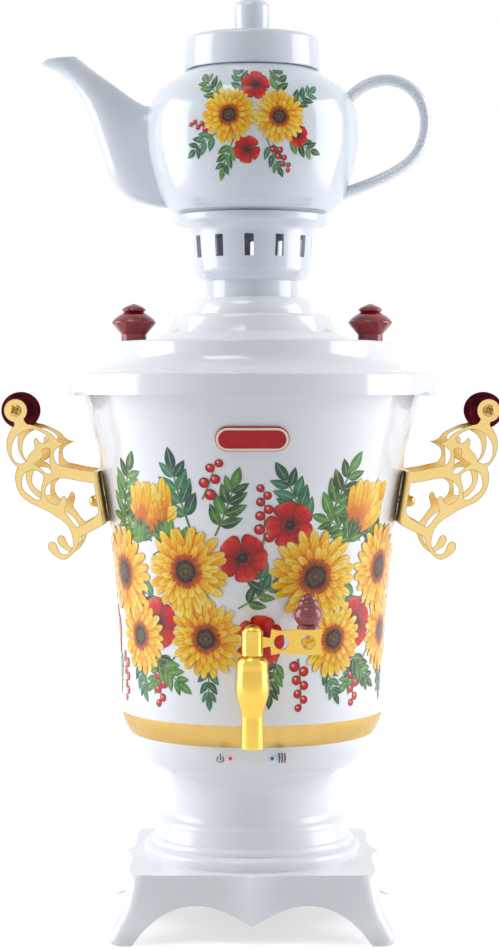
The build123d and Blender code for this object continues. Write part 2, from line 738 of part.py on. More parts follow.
def tie_nut():
    """Nut and washer under the foot's web."""
    washer = tube(TIE_NUT_ACROSS, TIE_R + FIT_GAP, WEB_Z - 1.2, WEB_Z)
    nut = extrude(Pos(0, 0, WEB_Z - 1.2 - TIE_NUT_THICK)
                  * RegularPolygon(TIE_NUT_ACROSS / 2, 6, major_radius=False), TIE_NUT_THICK)
    return washer + (nut - rod(TIE_R + FIT_GAP, WEB_Z - 20, WEB_Z))


# ================================================================ tap
def tap_y():
    """Y of the tap's upright axis."""
    return -tank_radius(TAP_SHANK_Z) - TAP_REACH


def at_tap(piece):
    """Moves a piece drawn round the Z axis to the tap's upright axis."""
    return Pos(0, tap_y(), 0) * piece


def tap_body():
    """Turned body with its outlet, and the shank that goes into the tank."""
    strokes = [
        [(TAP_OUTLET_R - 0.3, TAP_OUTLET_Z), (TAP_OUTLET_R, TAP_OUTLET_Z + 0.5)],
        [(TAP_OUTLET_R, TAP_OUTLET_Z + 0.5), (TAP_OUTLET_R - 0.3, TAP_WAIST_Z)],
        [(TAP_OUTLET_R - 0.3, TAP_WAIST_Z), (TAP_OUTLET_R + 0.5, TAP_WAIST_Z + 4.4),
         (TAP_BELLY_R - 0.5, TAP_WAIST_Z + 10.7), (TAP_BELLY_R, TAP_WAIST_Z + 18.0),
         (TAP_BODY_R, TAP_BODY_TOP_Z - 2.0)],
        [(TAP_BODY_R, TAP_BODY_TOP_Z - 2.0), (TAP_BODY_R, TAP_BODY_TOP_Z)],
    ]
    body = at_tap(turned_body(strokes))
    wall_y = -tank_radius(TAP_SHANK_Z)
    collar_y = wall_y - GASKET_THICK - FIT_GAP
    shank = rod_y(TAP_SHANK_R, tap_y(), wall_y + TANK_WALL + TAP_NUT_THICK + 3.5, 0, TAP_SHANK_Z)
    collar = rod_y(TAP_COLLAR_R, collar_y - 3.0, collar_y, 0, TAP_SHANK_Z)
    body = body + shank + collar
    plug_bore = rod(TAP_PLUG_R + RUN_GAP, TAP_SHANK_Z - 9.0, TAP_BODY_TOP_Z)
    thread_bore = rod(TAP_PLUG_R + 1.8, TAP_BODY_TOP_Z - 4.5, TAP_BODY_TOP_Z + OVERCUT)
    outlet = rod(TAP_PASSAGE_R, TAP_OUTLET_Z - OVERCUT, TAP_SHANK_Z)
    body = body - at_tap(plug_bore + thread_bore + outlet)
    return body - rod_y(TAP_PASSAGE_R, tap_y(), 0, 0, TAP_SHANK_Z)


def tap_bonnet():
    """Screwed ring that holds the plug down, with a sloping shoulder."""
    strokes = [
        *path_of((TAP_PLUG_R + 1.7, TAP_BODY_TOP_Z - 4.4), (TAP_PLUG_R + 1.7, TAP_BODY_TOP_Z),
                 (TAP_BODY_R, TAP_BODY_TOP_Z), (TAP_BODY_R, TAP_BODY_TOP_Z + 1.2)),
        [(TAP_BODY_R, TAP_BODY_TOP_Z + 1.2), (7.9, TAP_TOP_Z - 2.2), (5.5, TAP_TOP_Z)],
    ]
    ring = turned_body(strokes) - rod(TAP_STEM_R + RUN_GAP, TAP_BODY_TOP_Z - 6, TAP_TOP_Z + OVERCUT)
    return at_tap(ring)


def tap_plug():
    """Hollow plug with one side port, and the stem that the lever turns."""
    top = TAP_BODY_TOP_Z - 4.4 - PART_GAP / 2
    body = rod(TAP_PLUG_R, TAP_SHANK_Z - 8.8, top)
    stem = rod(TAP_STEM_R, top - OVERCUT, TAP_TOP_Z + TAP_HUB_HEIGHT + 2.0)
    port = Pos(0, 0, TAP_SHANK_Z) * Rot(0, -90, 0) * Cylinder(
        TAP_PASSAGE_R - 0.4, 12, align=(Align.CENTER, Align.CENTER, Align.MIN))
    drain = rod(TAP_PASSAGE_R, TAP_SHANK_Z - 12, TAP_SHANK_Z + 1.0)
    return at_tap((body + stem) - port - drain)


def lever_plate():
    """Flat lever plate with two round holes and scalloped ends, drawn upright."""
    middle = TAP_TOP_Z + 0.2 + TAP_HUB_HEIGHT * 0.58
    low, high = middle - LEVER_HEIGHT / 2, middle + LEVER_HEIGHT / 2
    start, end = LEVER_START_X, LEVER_END_X
    strokes = [
        [(start, middle - 2.2), (start + 0.4, middle - 5.4), (start + 0.6, low)],
        [(start + 0.6, low), (start + 6.0, low + 1.1), (start + 12.0, low + 0.5)],
        [(start + 12.0, low + 0.5), (end, low + 0.3)],
        [(end, low + 0.3), (end - 1.3, middle), (end, high)],
        [(end, high), (start + 12.0, high - 0.3)],
        [(start + 12.0, high - 0.3), (start + 6.0, high - 1.1), (start + 0.6, high)],
        [(start + 0.6, high), (start + 0.4, middle + 5.4), (start, middle + 2.2)],
        *path_of((start, middle + 2.2), (TAP_HUB_R - 2.0, middle + 3.4), (TAP_HUB_R - 2.0, middle - 3.4),
                 (start, middle - 2.2)),
    ]
    face = outline(strokes)
    for x in LEVER_HOLES_X:
        face = face - Pos(x, middle) * Circle(LEVER_HOLE_R)
    return extrude(Plane.XZ * face, LEVER_THICK / 2, both=True), high


def tap_lever():
    """Hub round the stem, flat plate, and the stud that carries the knob."""
    low = TAP_TOP_Z + 0.2
    plate, high = lever_plate()
    stud = rod(LEVER_THICK / 2 - 0.1, high - 0.5, high + 0.7 * LEVER_KNOB_HEIGHT, LEVER_KNOB_X)
    lever = rod(TAP_HUB_R, low, low + TAP_HUB_HEIGHT) + plate + stud
    lever = lever - rod(TAP_STEM_R + FIT_GAP, low - OVERCUT, low + TAP_HUB_HEIGHT + OVERCUT)
    return at_tap(lever)


def tap_cap():
    """Domed cap nut on the stem's end."""
    low = TAP_TOP_Z + 0.2 + TAP_HUB_HEIGHT
    high = low + TAP_CAP_HEIGHT
    strokes = [
        [(TAP_HUB_R, low), (TAP_HUB_R, low + 0.8)],
        [(TAP_HUB_R, low + 0.8), (TAP_HUB_R - 0.7, low + 1.0)],
        dome(TAP_HUB_R - 0.7, low + 1.0, high),
    ]
    cap = turned(closed(strokes, path_of((0, high), (0, low))))
    return at_tap(cap - rod(TAP_STEM_R + FIT_GAP, low - OVERCUT, low + 2.2))


def tap_knob():
    """Beehive knob that stands on the lever."""
    low = lever_plate()[1]
    r = LEVER_KNOB_R
    height = LEVER_KNOB_HEIGHT
    strokes = [
        [(0.8 * r, low), (0.8 * r, low + 0.07 * height)],
        [(0.8 * r, low + 0.07 * height), (0.7 * r, low + 0.12 * height)],
        [(0.7 * r, low + 0.12 * height), (0.96 * r, low + 0.28 * height), (0.97 * r, low + 0.46 * height),
         (0.72 * r, low + 0.62 * height)],
        [(0.72 * r, low + 0.62 * height), (0.73 * r, low + 0.74 * height), (0.54 * r, low + 0.82 * height)],
        [(0.54 * r, low + 0.82 * height), (0.46 * r, low + 0.9 * height), (0.2 * r, low + 0.97 * height),
         (0, low + height)],
    ]
    knob = turned(closed(strokes, path_of((0, low + height), (0, low))))
    knob = knob - rod(LEVER_THICK / 2, low - OVERCUT, low + 0.7 * height + 0.5)
    return at_tap(Pos(LEVER_KNOB_X, 0, 0) * knob)


def tap_gasket():
    """Rubber washer between the tap's collar and the tank."""
    outer_y = -tank_radius(TAP_SHANK_Z) - GASKET_THICK - FIT_GAP
    ring = rod_y(GASKET_R, outer_y, outer_y + 6.0, 0, TAP_SHANK_Z)
    ring = ring - rod_y(TAP_SHANK_R + FIT_GAP, outer_y - OVERCUT, 0, 0, TAP_SHANK_Z)
    return ring - tank_envelope(TAP_SHANK_Z - 15, TAP_SHANK_Z + 15, FIT_GAP)


def tap_nut():
    """Hexagon nut with a saddle washer inside the tank."""
    wall_y = -tank_radius(TAP_SHANK_Z) + TANK_WALL
    face_y = wall_y + 1.3
    plane = Plane(origin=(0, face_y, TAP_SHANK_Z), x_dir=(1, 0, 0), z_dir=(0, 1, 0))
    nut = extrude(plane * RegularPolygon(TAP_NUT_ACROSS / 2, 6, major_radius=False), TAP_NUT_THICK)
    saddle = rod_y(TAP_NUT_ACROSS / 2 - 1.0, wall_y - 2.0, face_y, 0, TAP_SHANK_Z)
    saddle = saddle & tank_envelope(TAP_SHANK_Z - 15, TAP_SHANK_Z + 15, -TANK_WALL - FIT_GAP)
    return (nut + saddle) - rod_y(TAP_SHANK_R + FIT_GAP, wall_y - 9, face_y + 9, 0, TAP_SHANK_Z)


# ================================================================ side handles
def cheek_outline():
    """Outer edge of the filigree cheek, drawn from its eye: +x towards the tank, +y up."""
    top_x, top_y = strap_end(STRAP_TOP_Z)
    low_x, low_y = strap_end(STRAP_BOTTOM_Z)
    return [
        [(4.6, -4.2), (5.3, -6.2), (6.7, -7.7)],
        [(6.7, -7.7), (11.1, -8.7), (15.2, -10.5), (18.4, -12.1), (21.2, -14.2), (23.2, -16.6),
         (24.6, -17.5), (28.5, -18.4)],
        [(28.5, -18.4), (24.9, -20.2), (22.4, -22.2), (21.4, -25.1), (22.0, -27.9), (23.7, -30.3),
         (26.5, -31.4), (31.7, -32.5)],
        [(31.7, -32.5), (31.7 + 0.46 * (top_x - 31.7), -33.8), (top_x, top_y)],
        *path_of((top_x, top_y), (top_x + 9, top_y), (low_x + 9, low_y), (low_x, low_y)),
        [(low_x, low_y), (36.5 + 0.45 * (low_x - 36.5), -68.3), (36.5, -71.6)],
        [(36.5, -71.6), (35.7, -74.4), (34.5, -77.6), (32.5, -80.9), (30.0, -83.3), (27.2, -84.5),
         (23.6, -83.3), (20.3, -80.9), (18.3, -77.6), (18.6, -75.2), (20.9, -74.4)],
        [(20.9, -74.4), (22.4, -75.2), (23.8, -78.4), (25.8, -81.2), (28.4, -81.5), (30.8, -79.6),
         (32.3, -76.4), (32.1, -72.8), (31.3, -69.1), (29.6, -65.9), (27.2, -63.1), (23.6, -60.6),
         (18.3, -57.2), (12.3, -54.2), (8.2, -52.4)],
        [(8.2, -52.4), (0.4, -43.0), (1.0, -31.9)],
        [(1.0, -31.9), (-5.0, -21.0), (-0.8, -8.4)],
        [(-0.8, -8.4), (-1.2, -6.4), (-2.8, -5.4)],
        *path_of((-2.8, -5.4), (0, -3), (4.6, -4.2)),
    ]


def cheek_holes():
    """The scrolls, the star and the open bow between the two arms that are cut out of a cheek."""
    upper_scroll = [
        [(3.4, -12.5), (0.2, -15.0), (-2.0, -19.0), (-2.5, -22.6), (-1.8, -26.7), (-0.2, -29.1), (1.8, -30.0)],
        [(1.8, -30.0), (4.2, -29.8), (5.9, -28.7), (6.9, -26.3), (8.3, -24.1), (9.9, -22.6), (11.0, -20.6)],
        [(11.0, -20.6), (10.4, -18.4), (10.6, -16.4), (11.9, -15.6)],
        [(11.9, -15.6), (13.1, -17.4), (15.6, -18.5), (17.6, -17.8), (18.5, -16.0), (17.2, -13.9),
         (14.6, -12.2), (10.7, -10.7), (6.7, -10.9), (3.4, -12.5)],
    ]
    star = [
        [(15.4, -22.0), (18.4, -21.4), (19.8, -22.2)],
        [(19.8, -22.2), (19.2, -26.7), (20.3, -35.6)],
        [(20.3, -35.6), (16.0, -34.8), (13.5, -32.3), (9.7, -30.2)],
        [(9.7, -30.2), (13.5, -28.2), (15.6, -25.9)],
        [(15.6, -25.9), (15.4, -22.0)],
    ]
    lower_scroll = [
        [(9.9, -33.6), (6.7, -34.4), (4.6, -36.0), (3.6, -38.8), (3.4, -42.5), (5.0, -45.8), (8.2, -48.3),
         (11.8, -50.5), (14.2, -50.0)],
        [(14.2, -50.0), (14.3, -46.1), (14.7, -42.0), (15.6, -39.0), (15.4, -36.6), (13.2, -34.6), (9.9, -33.6)],
    ]
    top_x, top_y = strap_end(STRAP_TOP_Z)
    low_x, low_y = strap_end(STRAP_BOTTOM_Z)
    slope = (low_x - top_x) / (low_y - top_y)
    bar_top = (top_x + slope * (-41.0 - top_y) - STRAP_BAR, -41.0)
    bar_low = (top_x + slope * (-57.4 - top_y) - STRAP_BAR, -57.4)
    arm = bar_top[0] - 28.4
    bow = [
        [bar_top, (28.4 + 0.83 * arm, -40.8), (28.4 + 0.52 * arm, -40.0), (28.4 + 0.26 * arm, -39.2),
         (28.4, -38.4), (25.2, -38.3), (22.0, -39.2), (19.1, -41.2), (17.1, -43.7), (16.7, -46.5), (17.5, -49.3), (19.1, -51.7), (21.1, -52.8),
         (24.0, -52.6), (25.4, -50.7), (26.0, -49.1), (27.2, -48.4), (28.3, -49.5), (28.8, -51.3),
         (28.5, -53.6), (27.8, -55.8), (28.0, -57.6), (29.6, -59.8), (32.1, -63.3), (34.9, -66.3)],
        [(34.9, -66.3), (34.9 + 0.14 * (bar_low[0] - 34.9), -65.3), (34.9 + 0.62 * (bar_low[0] - 34.9), -62.1),
         bar_low],
        [bar_low, bar_top],
    ]
    return upper_scroll, star, lower_scroll, bow


def strap_end(level):
    """Where the strap's outer face lies at a level, from the eye: +x towards the tank, +y up."""
    return (EYE_X - tank_radius(level) - FIT_GAP, level - EYE_Z)


def cheek_face():
    """Filigree cheek with its eye, run on past the strap's face."""
    face = outline(cheek_outline()) + Circle(EYE_R)
    for hole in cheek_holes():
        face = face - outline(hole)
    return face - Circle(GRIP_SCREW_R + FIT_GAP)


def cheek_places():
    """Y values between which each cheek lies."""
    inner = GRIP_LENGTH / 2 + FIT_GAP
    return ((-inner - FRAME_THICK, -inner), (inner, inner + FRAME_THICK))


def bent_sheet():
    """The U that the sheet is bent to, seen along the strap, run far out past the eyes."""
    half = cheek_places()[1][1]
    tank_x = -tank_radius(STRAP_TOP_Z) - FIT_GAP
    lean = strap_lean()
    low, high = STRAP_BOTTOM_Z - 30, EYE_Z + 20
    bend = 1 - cos(pi / 4)
    outer = [
        [(-90, -half), (-FRAME_BEND_R, -half)],
        [(-FRAME_BEND_R, -half), (-FRAME_BEND_R * bend, -half + FRAME_BEND_R * bend), (0, -half + FRAME_BEND_R)],
        [(0, -half + FRAME_BEND_R), (0, half - FRAME_BEND_R)],
        [(0, half - FRAME_BEND_R), (-FRAME_BEND_R * bend, half - FRAME_BEND_R * bend), (-FRAME_BEND_R, half)],
        [(-FRAME_BEND_R, half), (-90, half)],
    ]
    section = outline(closed(outer, reverse(inset(outer, FRAME_THICK))))
    start = tank_x - lean * (low - STRAP_TOP_Z)
    return extrude(Pos(start, 0, low) * section, (high - low) * hypot(1, lean), dir=(-lean, 0, 1))


def handle_frame():
    """Left handle's frame: one sheet bent round a flat strap, with a filigree cheek on each side."""
    half = cheek_places()[1][1]
    plane = Plane(origin=(-EYE_X, 0, EYE_Z), x_dir=(1, 0, 0), z_dir=(0, -1, 0))
    frame = extrude(plane * cheek_face(), half + OVERCUT, both=True) & bent_sheet()
    return frame - handle_bolt_plane(-1) * Cylinder(HANDLE_BOLT_R + FIT_GAP, 20)


def handle_grip():
    """Turned grip between the two cheeks: a swelling barrel with two beads at each end, bored for its screws."""
    half = GRIP_LENGTH / 2
    end_r = GRIP_END_R
    bead = GRIP_BEAD
    neck = -half + 3 * bead
    lower = [
        [(0, -half), (end_r - 0.8, -half)],
        [(end_r - 0.8, -half), (end_r, -half + 0.5 * bead), (end_r - 0.5, -half + 1.2 * bead)],
        [(end_r - 0.5, -half + 1.2 * bead), (end_r + 0.9, -half + 2 * bead), (end_r + 0.4, neck)],
        [(end_r + 0.4, neck), (end_r + 1.1, neck + 0.5)],
    ]
    upper = [[(r, -z) for r, z in reversed(stroke)] for stroke in reversed(lower)]
    barrel = [[lower[-1][-1], (GRIP_R, 0), upper[0][0]]]
    grip = turned(closed(lower, barrel, upper))
    for side in (-1, 1):
        grip = grip - rod(GRIP_SCREW_R + FIT_GAP, *sorted((side * (half - 16.0), side * (half + 1.0))))
    return Pos(-EYE_X, 0, EYE_Z) * Rot(90, 0, 0) * grip


def grip_screws():
    """Two round-head screws through the eyes into the grip."""
    outer = cheek_places()[1][1]
    strokes = [
        [(0, outer - 15.0 - FRAME_THICK), (GRIP_SCREW_R, outer - 15.0 - FRAME_THICK)],
        *path_of((GRIP_SCREW_R, outer - 15.0 - FRAME_THICK), (GRIP_SCREW_R, outer), (SCREW_HEAD_R, outer)),
        dome(SCREW_HEAD_R, outer, outer + 2.3),
    ]
    screw = turned(closed(strokes, path_of((0, outer + 2.3), (0, outer - 15.0 - FRAME_THICK))))
    place = Pos(-EYE_X, 0, EYE_Z)
    return [place * Rot(90, 0, 0) * screw, place * Rot(-90, 0, 0) * screw]


def handle_bolt():
    """Bolt from inside the tank through the wall and the strap, with its head and seal."""
    plane = handle_bolt_plane(-1)
    head_top = -TANK_WALL - 0.8
    bolt = rod(HANDLE_BOLT_R, head_top - 1.0, FRAME_THICK + 4.6)
    head = rod(4.2, head_top - 2.4, head_top)
    return plane * (bolt + head)


def acorn_nut():
    """Washer and domed nut on the outer end of a handle's bolt."""
    plane = handle_bolt_plane(-1)
    low = FRAME_THICK + FIT_GAP / 2
    washer = rod(ACORN_R + 0.8, low, low + 0.8)
    nut = extrude(Pos(0, 0, low + 0.8) * RegularPolygon(ACORN_R * cos(pi / 6), 6, major_radius=False), 2.6)
    crown_r = 3.4
    crown = turned(closed([[(crown_r, low + 3.0), (crown_r, low + 4.2)], dome(crown_r, low + 4.2, low + 7.6)],
                          path_of((0, low + 7.6), (0, low + 3.0))))
    nut = (washer + nut + crown) - rod(HANDLE_BOLT_R + FIT_GAP, 0, FRAME_THICK + 4.9)
    return plane * nut


# ================================================================ samovar lid
def lid_skirt_radius():
    """Outer radius of the lid's skirt, which goes round the tank's flange."""
    return tank_radius(PIECE_Z["lid"] + TANK_COLLAR) + FLANGE_WIDTH + LID_SKIRT_GAP + LID_WALL


def lid_strokes():
    """Outer line of the stepped lid, from its skirt up and in to the collar round its vent."""
    low = PIECE_Z["lid"]
    plateau = PIECE_Z["plateau"]
    top = PIECE_Z["stand"]
    skirt_top = low + LID_SKIRT_HEIGHT
    skirt_r = lid_skirt_radius()
    edge_r = LID_KNOB_X + 8.8
    vent_r = VENT_R + 0.6

    def slope(outward, upward):
        return (edge_r + outward * (skirt_r - edge_r), skirt_top + upward * (plateau - skirt_top))

    def crown(outward, upward):
        return (STAND_NECK_R + outward, plateau + upward * (top - plateau))

    return [
        [(skirt_r, low), (skirt_r, skirt_top)],
        [(skirt_r, skirt_top), (skirt_r - 0.7, skirt_top + 1.0), slope(0.916, 0.071)],
        [slope(0.916, 0.071), slope(0.628, 0.137), slope(0.358, 0.254), slope(0.189, 0.477),
         slope(0.112, 0.746), slope(0.077, 0.919)],
        [slope(0.077, 0.919), slope(0.053, 0.98), (edge_r, plateau)],
        [(edge_r, plateau), (LID_KNOB_X - 9.2, plateau)],
        [(LID_KNOB_X - 9.2, plateau), ((LID_KNOB_X + crown(12.8, 0)[0]) / 2, plateau + 2.6), crown(22.0, 0.207)],
        [crown(22.0, 0.207), crown(19.8, 0.382), crown(18.3, 0.526)],
        [crown(18.3, 0.526), crown(17.2, 0.59), crown(14.8, 0.614)],
        [crown(14.8, 0.614), crown(8.4, 0.625)],
        [crown(8.4, 0.625), crown(7.2, 0.821), crown(3.8, 1)],
        *path_of(crown(3.8, 1), (vent_r, top), (vent_r, top - 3.0)),
    ]


def samovar_lid():
    """Stepped pressed lid with a deep skirt, a vent in the middle and screw holes for the knobs."""
    lid = turned_wall(lid_strokes(), LID_WALL)
    seat_top = PIECE_Z["lid"] + LID_SKIRT_HEIGHT + 1.0
    flange_top = PIECE_Z["lid"] + TANK_COLLAR
    ring_r = tank_radius(flange_top) + FLANGE_WIDTH - 2.0
    ring = tube(ring_r, ring_r - LID_WALL, flange_top, seat_top)
    lid = lid + ring
    for side in (-1, 1):
        plateau = PIECE_Z["plateau"]
        lid = lid - rod(LID_SCREW_R + FIT_GAP, plateau - 9, plateau + OVERCUT, side * LID_KNOB_X)
    return lid


def lid_knob():
    """Turned knob with a belly, a waist and a domed cap, on the left of the lid."""
    low = PIECE_Z["plateau"]
    r = LID_KNOB_R
    height = LID_KNOB_HEIGHT
    strokes = [
        [(0.57 * r, low), (0.57 * r, low + 0.196 * height)],
        [(0.57 * r, low + 0.196 * height), (0.8 * r, low + 0.35 * height), (0.985 * r, low + 0.475 * height)],
        [(0.985 * r, low + 0.475 * height), (r, low + 0.51 * height), (0.965 * r, low + 0.55 * height),
         (0.833 * r, low + 0.63 * height), (0.556 * r, low + 0.739 * height), (0.444 * r, low + 0.779 * height)],
        [(0.444 * r, low + 0.779 * height), (0.548 * r, low + 0.815 * height)],
        [(0.548 * r, low + 0.815 * height), (0.5 * r, low + 0.872 * height), (0.34 * r, low + 0.93 * height),
         (0.17 * r, low + 0.97 * height), (0, low + height)],
    ]
    knob = turned(closed(strokes, path_of((0, low + height), (0, low))))
    knob = knob - rod(LID_SCREW_R + FIT_GAP, low - OVERCUT, low + 0.62 * height)
    return Pos(-LID_KNOB_X, 0, 0) * knob


def lid_knob_screws():
    """Screws up through the lid into the two knobs."""
    under = PIECE_Z["plateau"] - LID_WALL
    screw = rod(LID_SCREW_R, under - 1.0, PIECE_Z["plateau"] + 0.6 * LID_KNOB_HEIGHT)
    screw = screw + rod(4.0, under - 2.2, under)
    return [Pos(side * LID_KNOB_X, 0, 0) * screw for side in (-1, 1)]


# ================================================================ crown stand
def teapot_stand():
    """Bell-shaped crown with twelve slots, a spigot in the lid's vent and a seat for the teapot."""
    low = PIECE_Z["stand"]
    top = PIECE_Z["rim"]
    neck = STAND_NECK_R
    swell = STAND_BELL_R - STAND_NECK_R
    outer = [
        [(neck, low), (neck, low + 9.6)],
        [(neck, low + 9.6), (neck + 0.39 * swell, low + 11.0), (neck + 0.67 * swell, low + 13.6),
         (neck + 0.82 * swell, low + 17.0)],
        [(neck + 0.82 * swell, low + 17.0), (STAND_BELL_R, top - 10.1)],
        [(STAND_BELL_R, top - 10.1), (STAND_BELL_R + 1.7, top - 6.7), (STAND_RIM_R - 2.0, top - 5.3)],
        [(STAND_RIM_R - 2.0, top - 5.3), (STAND_RIM_R - 0.6, top - 4.7), (STAND_RIM_R, top - 3.5)],
        [(STAND_RIM_R, top - 3.5), (STAND_RIM_R, top - 0.8)],
        [(STAND_RIM_R, top - 0.8), (STAND_RIM_R - 0.3, top - 0.2), (STAND_RIM_R - 0.9, top)],
    ]
    seat_r = POT_FOOT_R + 2 * LID_GAP
    bell_inner = reverse(inset(outer[1:3], STAND_WALL))
    bore = VENT_R - FIT_GAP - 2.0
    inner = [
        *path_of((seat_r, top), (seat_r, top - SEAT_DEPTH), (STAND_BELL_R - 0.6, top - SEAT_DEPTH),
                 bell_inner[0][0]),
        *bell_inner,
        *path_of(bell_inner[-1][-1], (bore, low + 4.0), (bore, low - STAND_SPIGOT)),
    ]
    spigot = path_of((bore, low - STAND_SPIGOT), (VENT_R - FIT_GAP, low - STAND_SPIGOT), (VENT_R - FIT_GAP, low),
                     (STAND_NECK_R, low))
    stand = turned(closed(outer, inner + spigot))
    slot_low, slot_high = SLOT_LEVELS
    slot = extrude(Plane.XZ * Pos(0, low + (slot_low + slot_high) / 2)
                   * RectangleRounded(SLOT_WIDTH, slot_high - slot_low, 0.7), 60)
    for index in range(SLOT_COUNT):
        stand = stand - Rot(0, 0, SLOT_START_ANGLE + index * 360 / SLOT_COUNT) * slot
    return stand


# ================================================================ teapot
def shoulder_foot():
    """Where the teapot's straight shoulder starts."""
    return (POT_BELLY_R - 11.8, PIECE_Z["pot_lid"] - 13.6)


def shoulder_level(radius):
    """Height of the teapot's straight shoulder at a radius."""
    start_r, start_z = shoulder_foot()
    end_r, end_z = POT_MOUTH_R + 1.2, PIECE_Z["pot_lid"] - 1.2
    return start_z + (end_z - start_z) * (start_r - radius) / (start_r - end_r)


def pot_strokes():
    """Outer line of the teapot's body, from its foot to its mouth."""
    low = PIECE_Z["pot"]
    top = PIECE_Z["pot_lid"]
    belly = low + POT_BELLY_Z
    start_r = POT_FOOT_R + 3.4

    def swell(outward, upward):
        return (start_r + outward * (POT_BELLY_R - start_r), low + 5.0 + upward * (POT_BELLY_Z - 5.0))

    return [
        [(POT_FOOT_R, low), (POT_FOOT_R + 0.6, low + 3.0)],
        [(POT_FOOT_R + 0.6, low + 3.0), (POT_FOOT_R + 1.6, low + 4.2), (POT_FOOT_R + 3.4, low + 5.0)],
        [swell(0, 0), swell(0.291, 0.083), swell(0.527, 0.213), swell(0.709, 0.391), swell(0.879, 0.6),
         swell(0.982, 0.804), (POT_BELLY_R, belly)],
        [(POT_BELLY_R, belly), (POT_BELLY_R - 0.5, belly + 9.0), (POT_BELLY_R - 4.2, belly + 19.0),
         shoulder_foot()],
        [shoulder_foot(), (POT_MOUTH_R + 1.2, top - 1.2)],
        [(POT_MOUTH_R + 1.2, top - 1.2), (POT_MOUTH_R, top)],
    ]


def oval_between(first, second, half_width):
    """Upright oval face across XZ with its ends at two points, and a half width along Y."""
    height = hypot(first[0] - second[0], first[1] - second[1])
    middle = ((first[0] + second[0]) / 2, 0, (first[1] + second[1]) / 2)
    along = (second[1] - first[1], 0, first[0] - second[0])
    return Plane(origin=middle, x_dir=(0, 1, 0), z_dir=along) * Ellipse(half_width, height / 2)


def spout_sections():
    """(upper point, lower point, half width) of the spout from its root to past its lip, x from the belly."""
    return [
        ((14.1, 58.0), (14.1, 10.5), 12.0),
        ((0.1, 66.4), (-3.4, 10.6), 13.5),
        ((-6.9, 69.9), (-18.4, 21.4), 12.0),
        ((-13.4, 74.5), (-26.3, 40.5), 10.4),
        ((-20.2, 79.4), (-31.9, 58.6), 9.0),
        ((-27.5, 84.6), (-37.5, 70.8), 7.8),
        ((-34.4, 89.8), (-44.5, 80.2), 6.9),
        ((-42.4, 96.6), (-52.3, 86.4), 6.6),
        ((-51.4, 104.5), (-62.9, 91.5), 6.6),
    ]


def spout_solid(wall):
    """The spout's outer solid, or its bore when wall is positive."""
    sections = []
    for upper, lower, half_width in spout_sections():
        share = wall / hypot(upper[0] - lower[0], upper[1] - lower[1])
        inward = ((lower[0] - upper[0]) * share, (lower[1] - upper[1]) * share)
        high = (upper[0] + inward[0] - POT_BELLY_R, upper[1] + inward[1] + PIECE_Z["pot"])
        low = (lower[0] - inward[0] - POT_BELLY_R, lower[1] - inward[1] + PIECE_Z["pot"])
        sections.append(oval_between(high, low, half_width - wall))
    return loft(sections)


def lip_cutter():
    """Everything above the spout's slanting lip."""
    points = [(-79, 85.0), (-61.5, 90.0), (-55.9, 92.6), (-39.9, 94.4), (-29, 97.0), (-29, 130), (-79, 130),
              (-79, 85.0)]
    face = outline(path_of(*[(x - POT_BELLY_R, z + PIECE_Z["pot"]) for x, z in points]))
    return extrude(Plane.XZ * face, 30, both=True)


def pot_handle():
    """Ear-shaped handle, its section a flat oval, with both roots inside the wall."""
    points = [(-8.9, 64.0), (5.5, 78.8), (20.8, 80.9), (34.4, 72.4), (39.1, 56.0), (34.6, 40.2), (19.8, 27.7),
              (-15.4, 12.8)]
    spine = Spline(*[(x + POT_BELLY_R, 0, z + PIECE_Z["pot"]) for x, z in points])
    plane = Plane(origin=spine @ 0, x_dir=(0, 1, 0), z_dir=spine % 0)
    section = plane * Ellipse(POT_HANDLE_DEPTH / 2, POT_HANDLE_THICK / 2)
    return sweep(section, path=spine)


def teapot_body():
    """Round pot with its foot, spout, strainer holes and handle."""
    strokes = pot_strokes()
    outer = turned_body(strokes)
    floor_z = PIECE_Z["pot"] + POT_WALL
    walls = inset(strokes[2:], POT_WALL)
    inner_low = [(0, floor_z), (POT_FOOT_R - 5.0, floor_z)]
    mouth = POT_MOUTH_R - POT_WALL
    inner = turned(closed([inner_low], walls[:-1], path_of((mouth, PIECE_Z["pot_lid"] - 1.5),
                                                           (mouth, PIECE_Z["pot_lid"] + OVERCUT),
                                                           (0, PIECE_Z["pot_lid"] + OVERCUT))))
    spout = spout_solid(0) - lip_cutter()
    bore = spout_solid(SPOUT_WALL) - outer
    pot = outer + spout + pot_handle()
    pot = pot - inner - bore
    for dy in (-5.5, 0, 5.5):
        for dz in (16.0, 24.0, 32.0, 40.0):
            start = (-POT_BELLY_R, dy, PIECE_Z["pot"] + dz)
            pot = pot - rod_along(-1, 0, start, STRAINER_HOLE_R, -18.0, 4.0)
    return pot


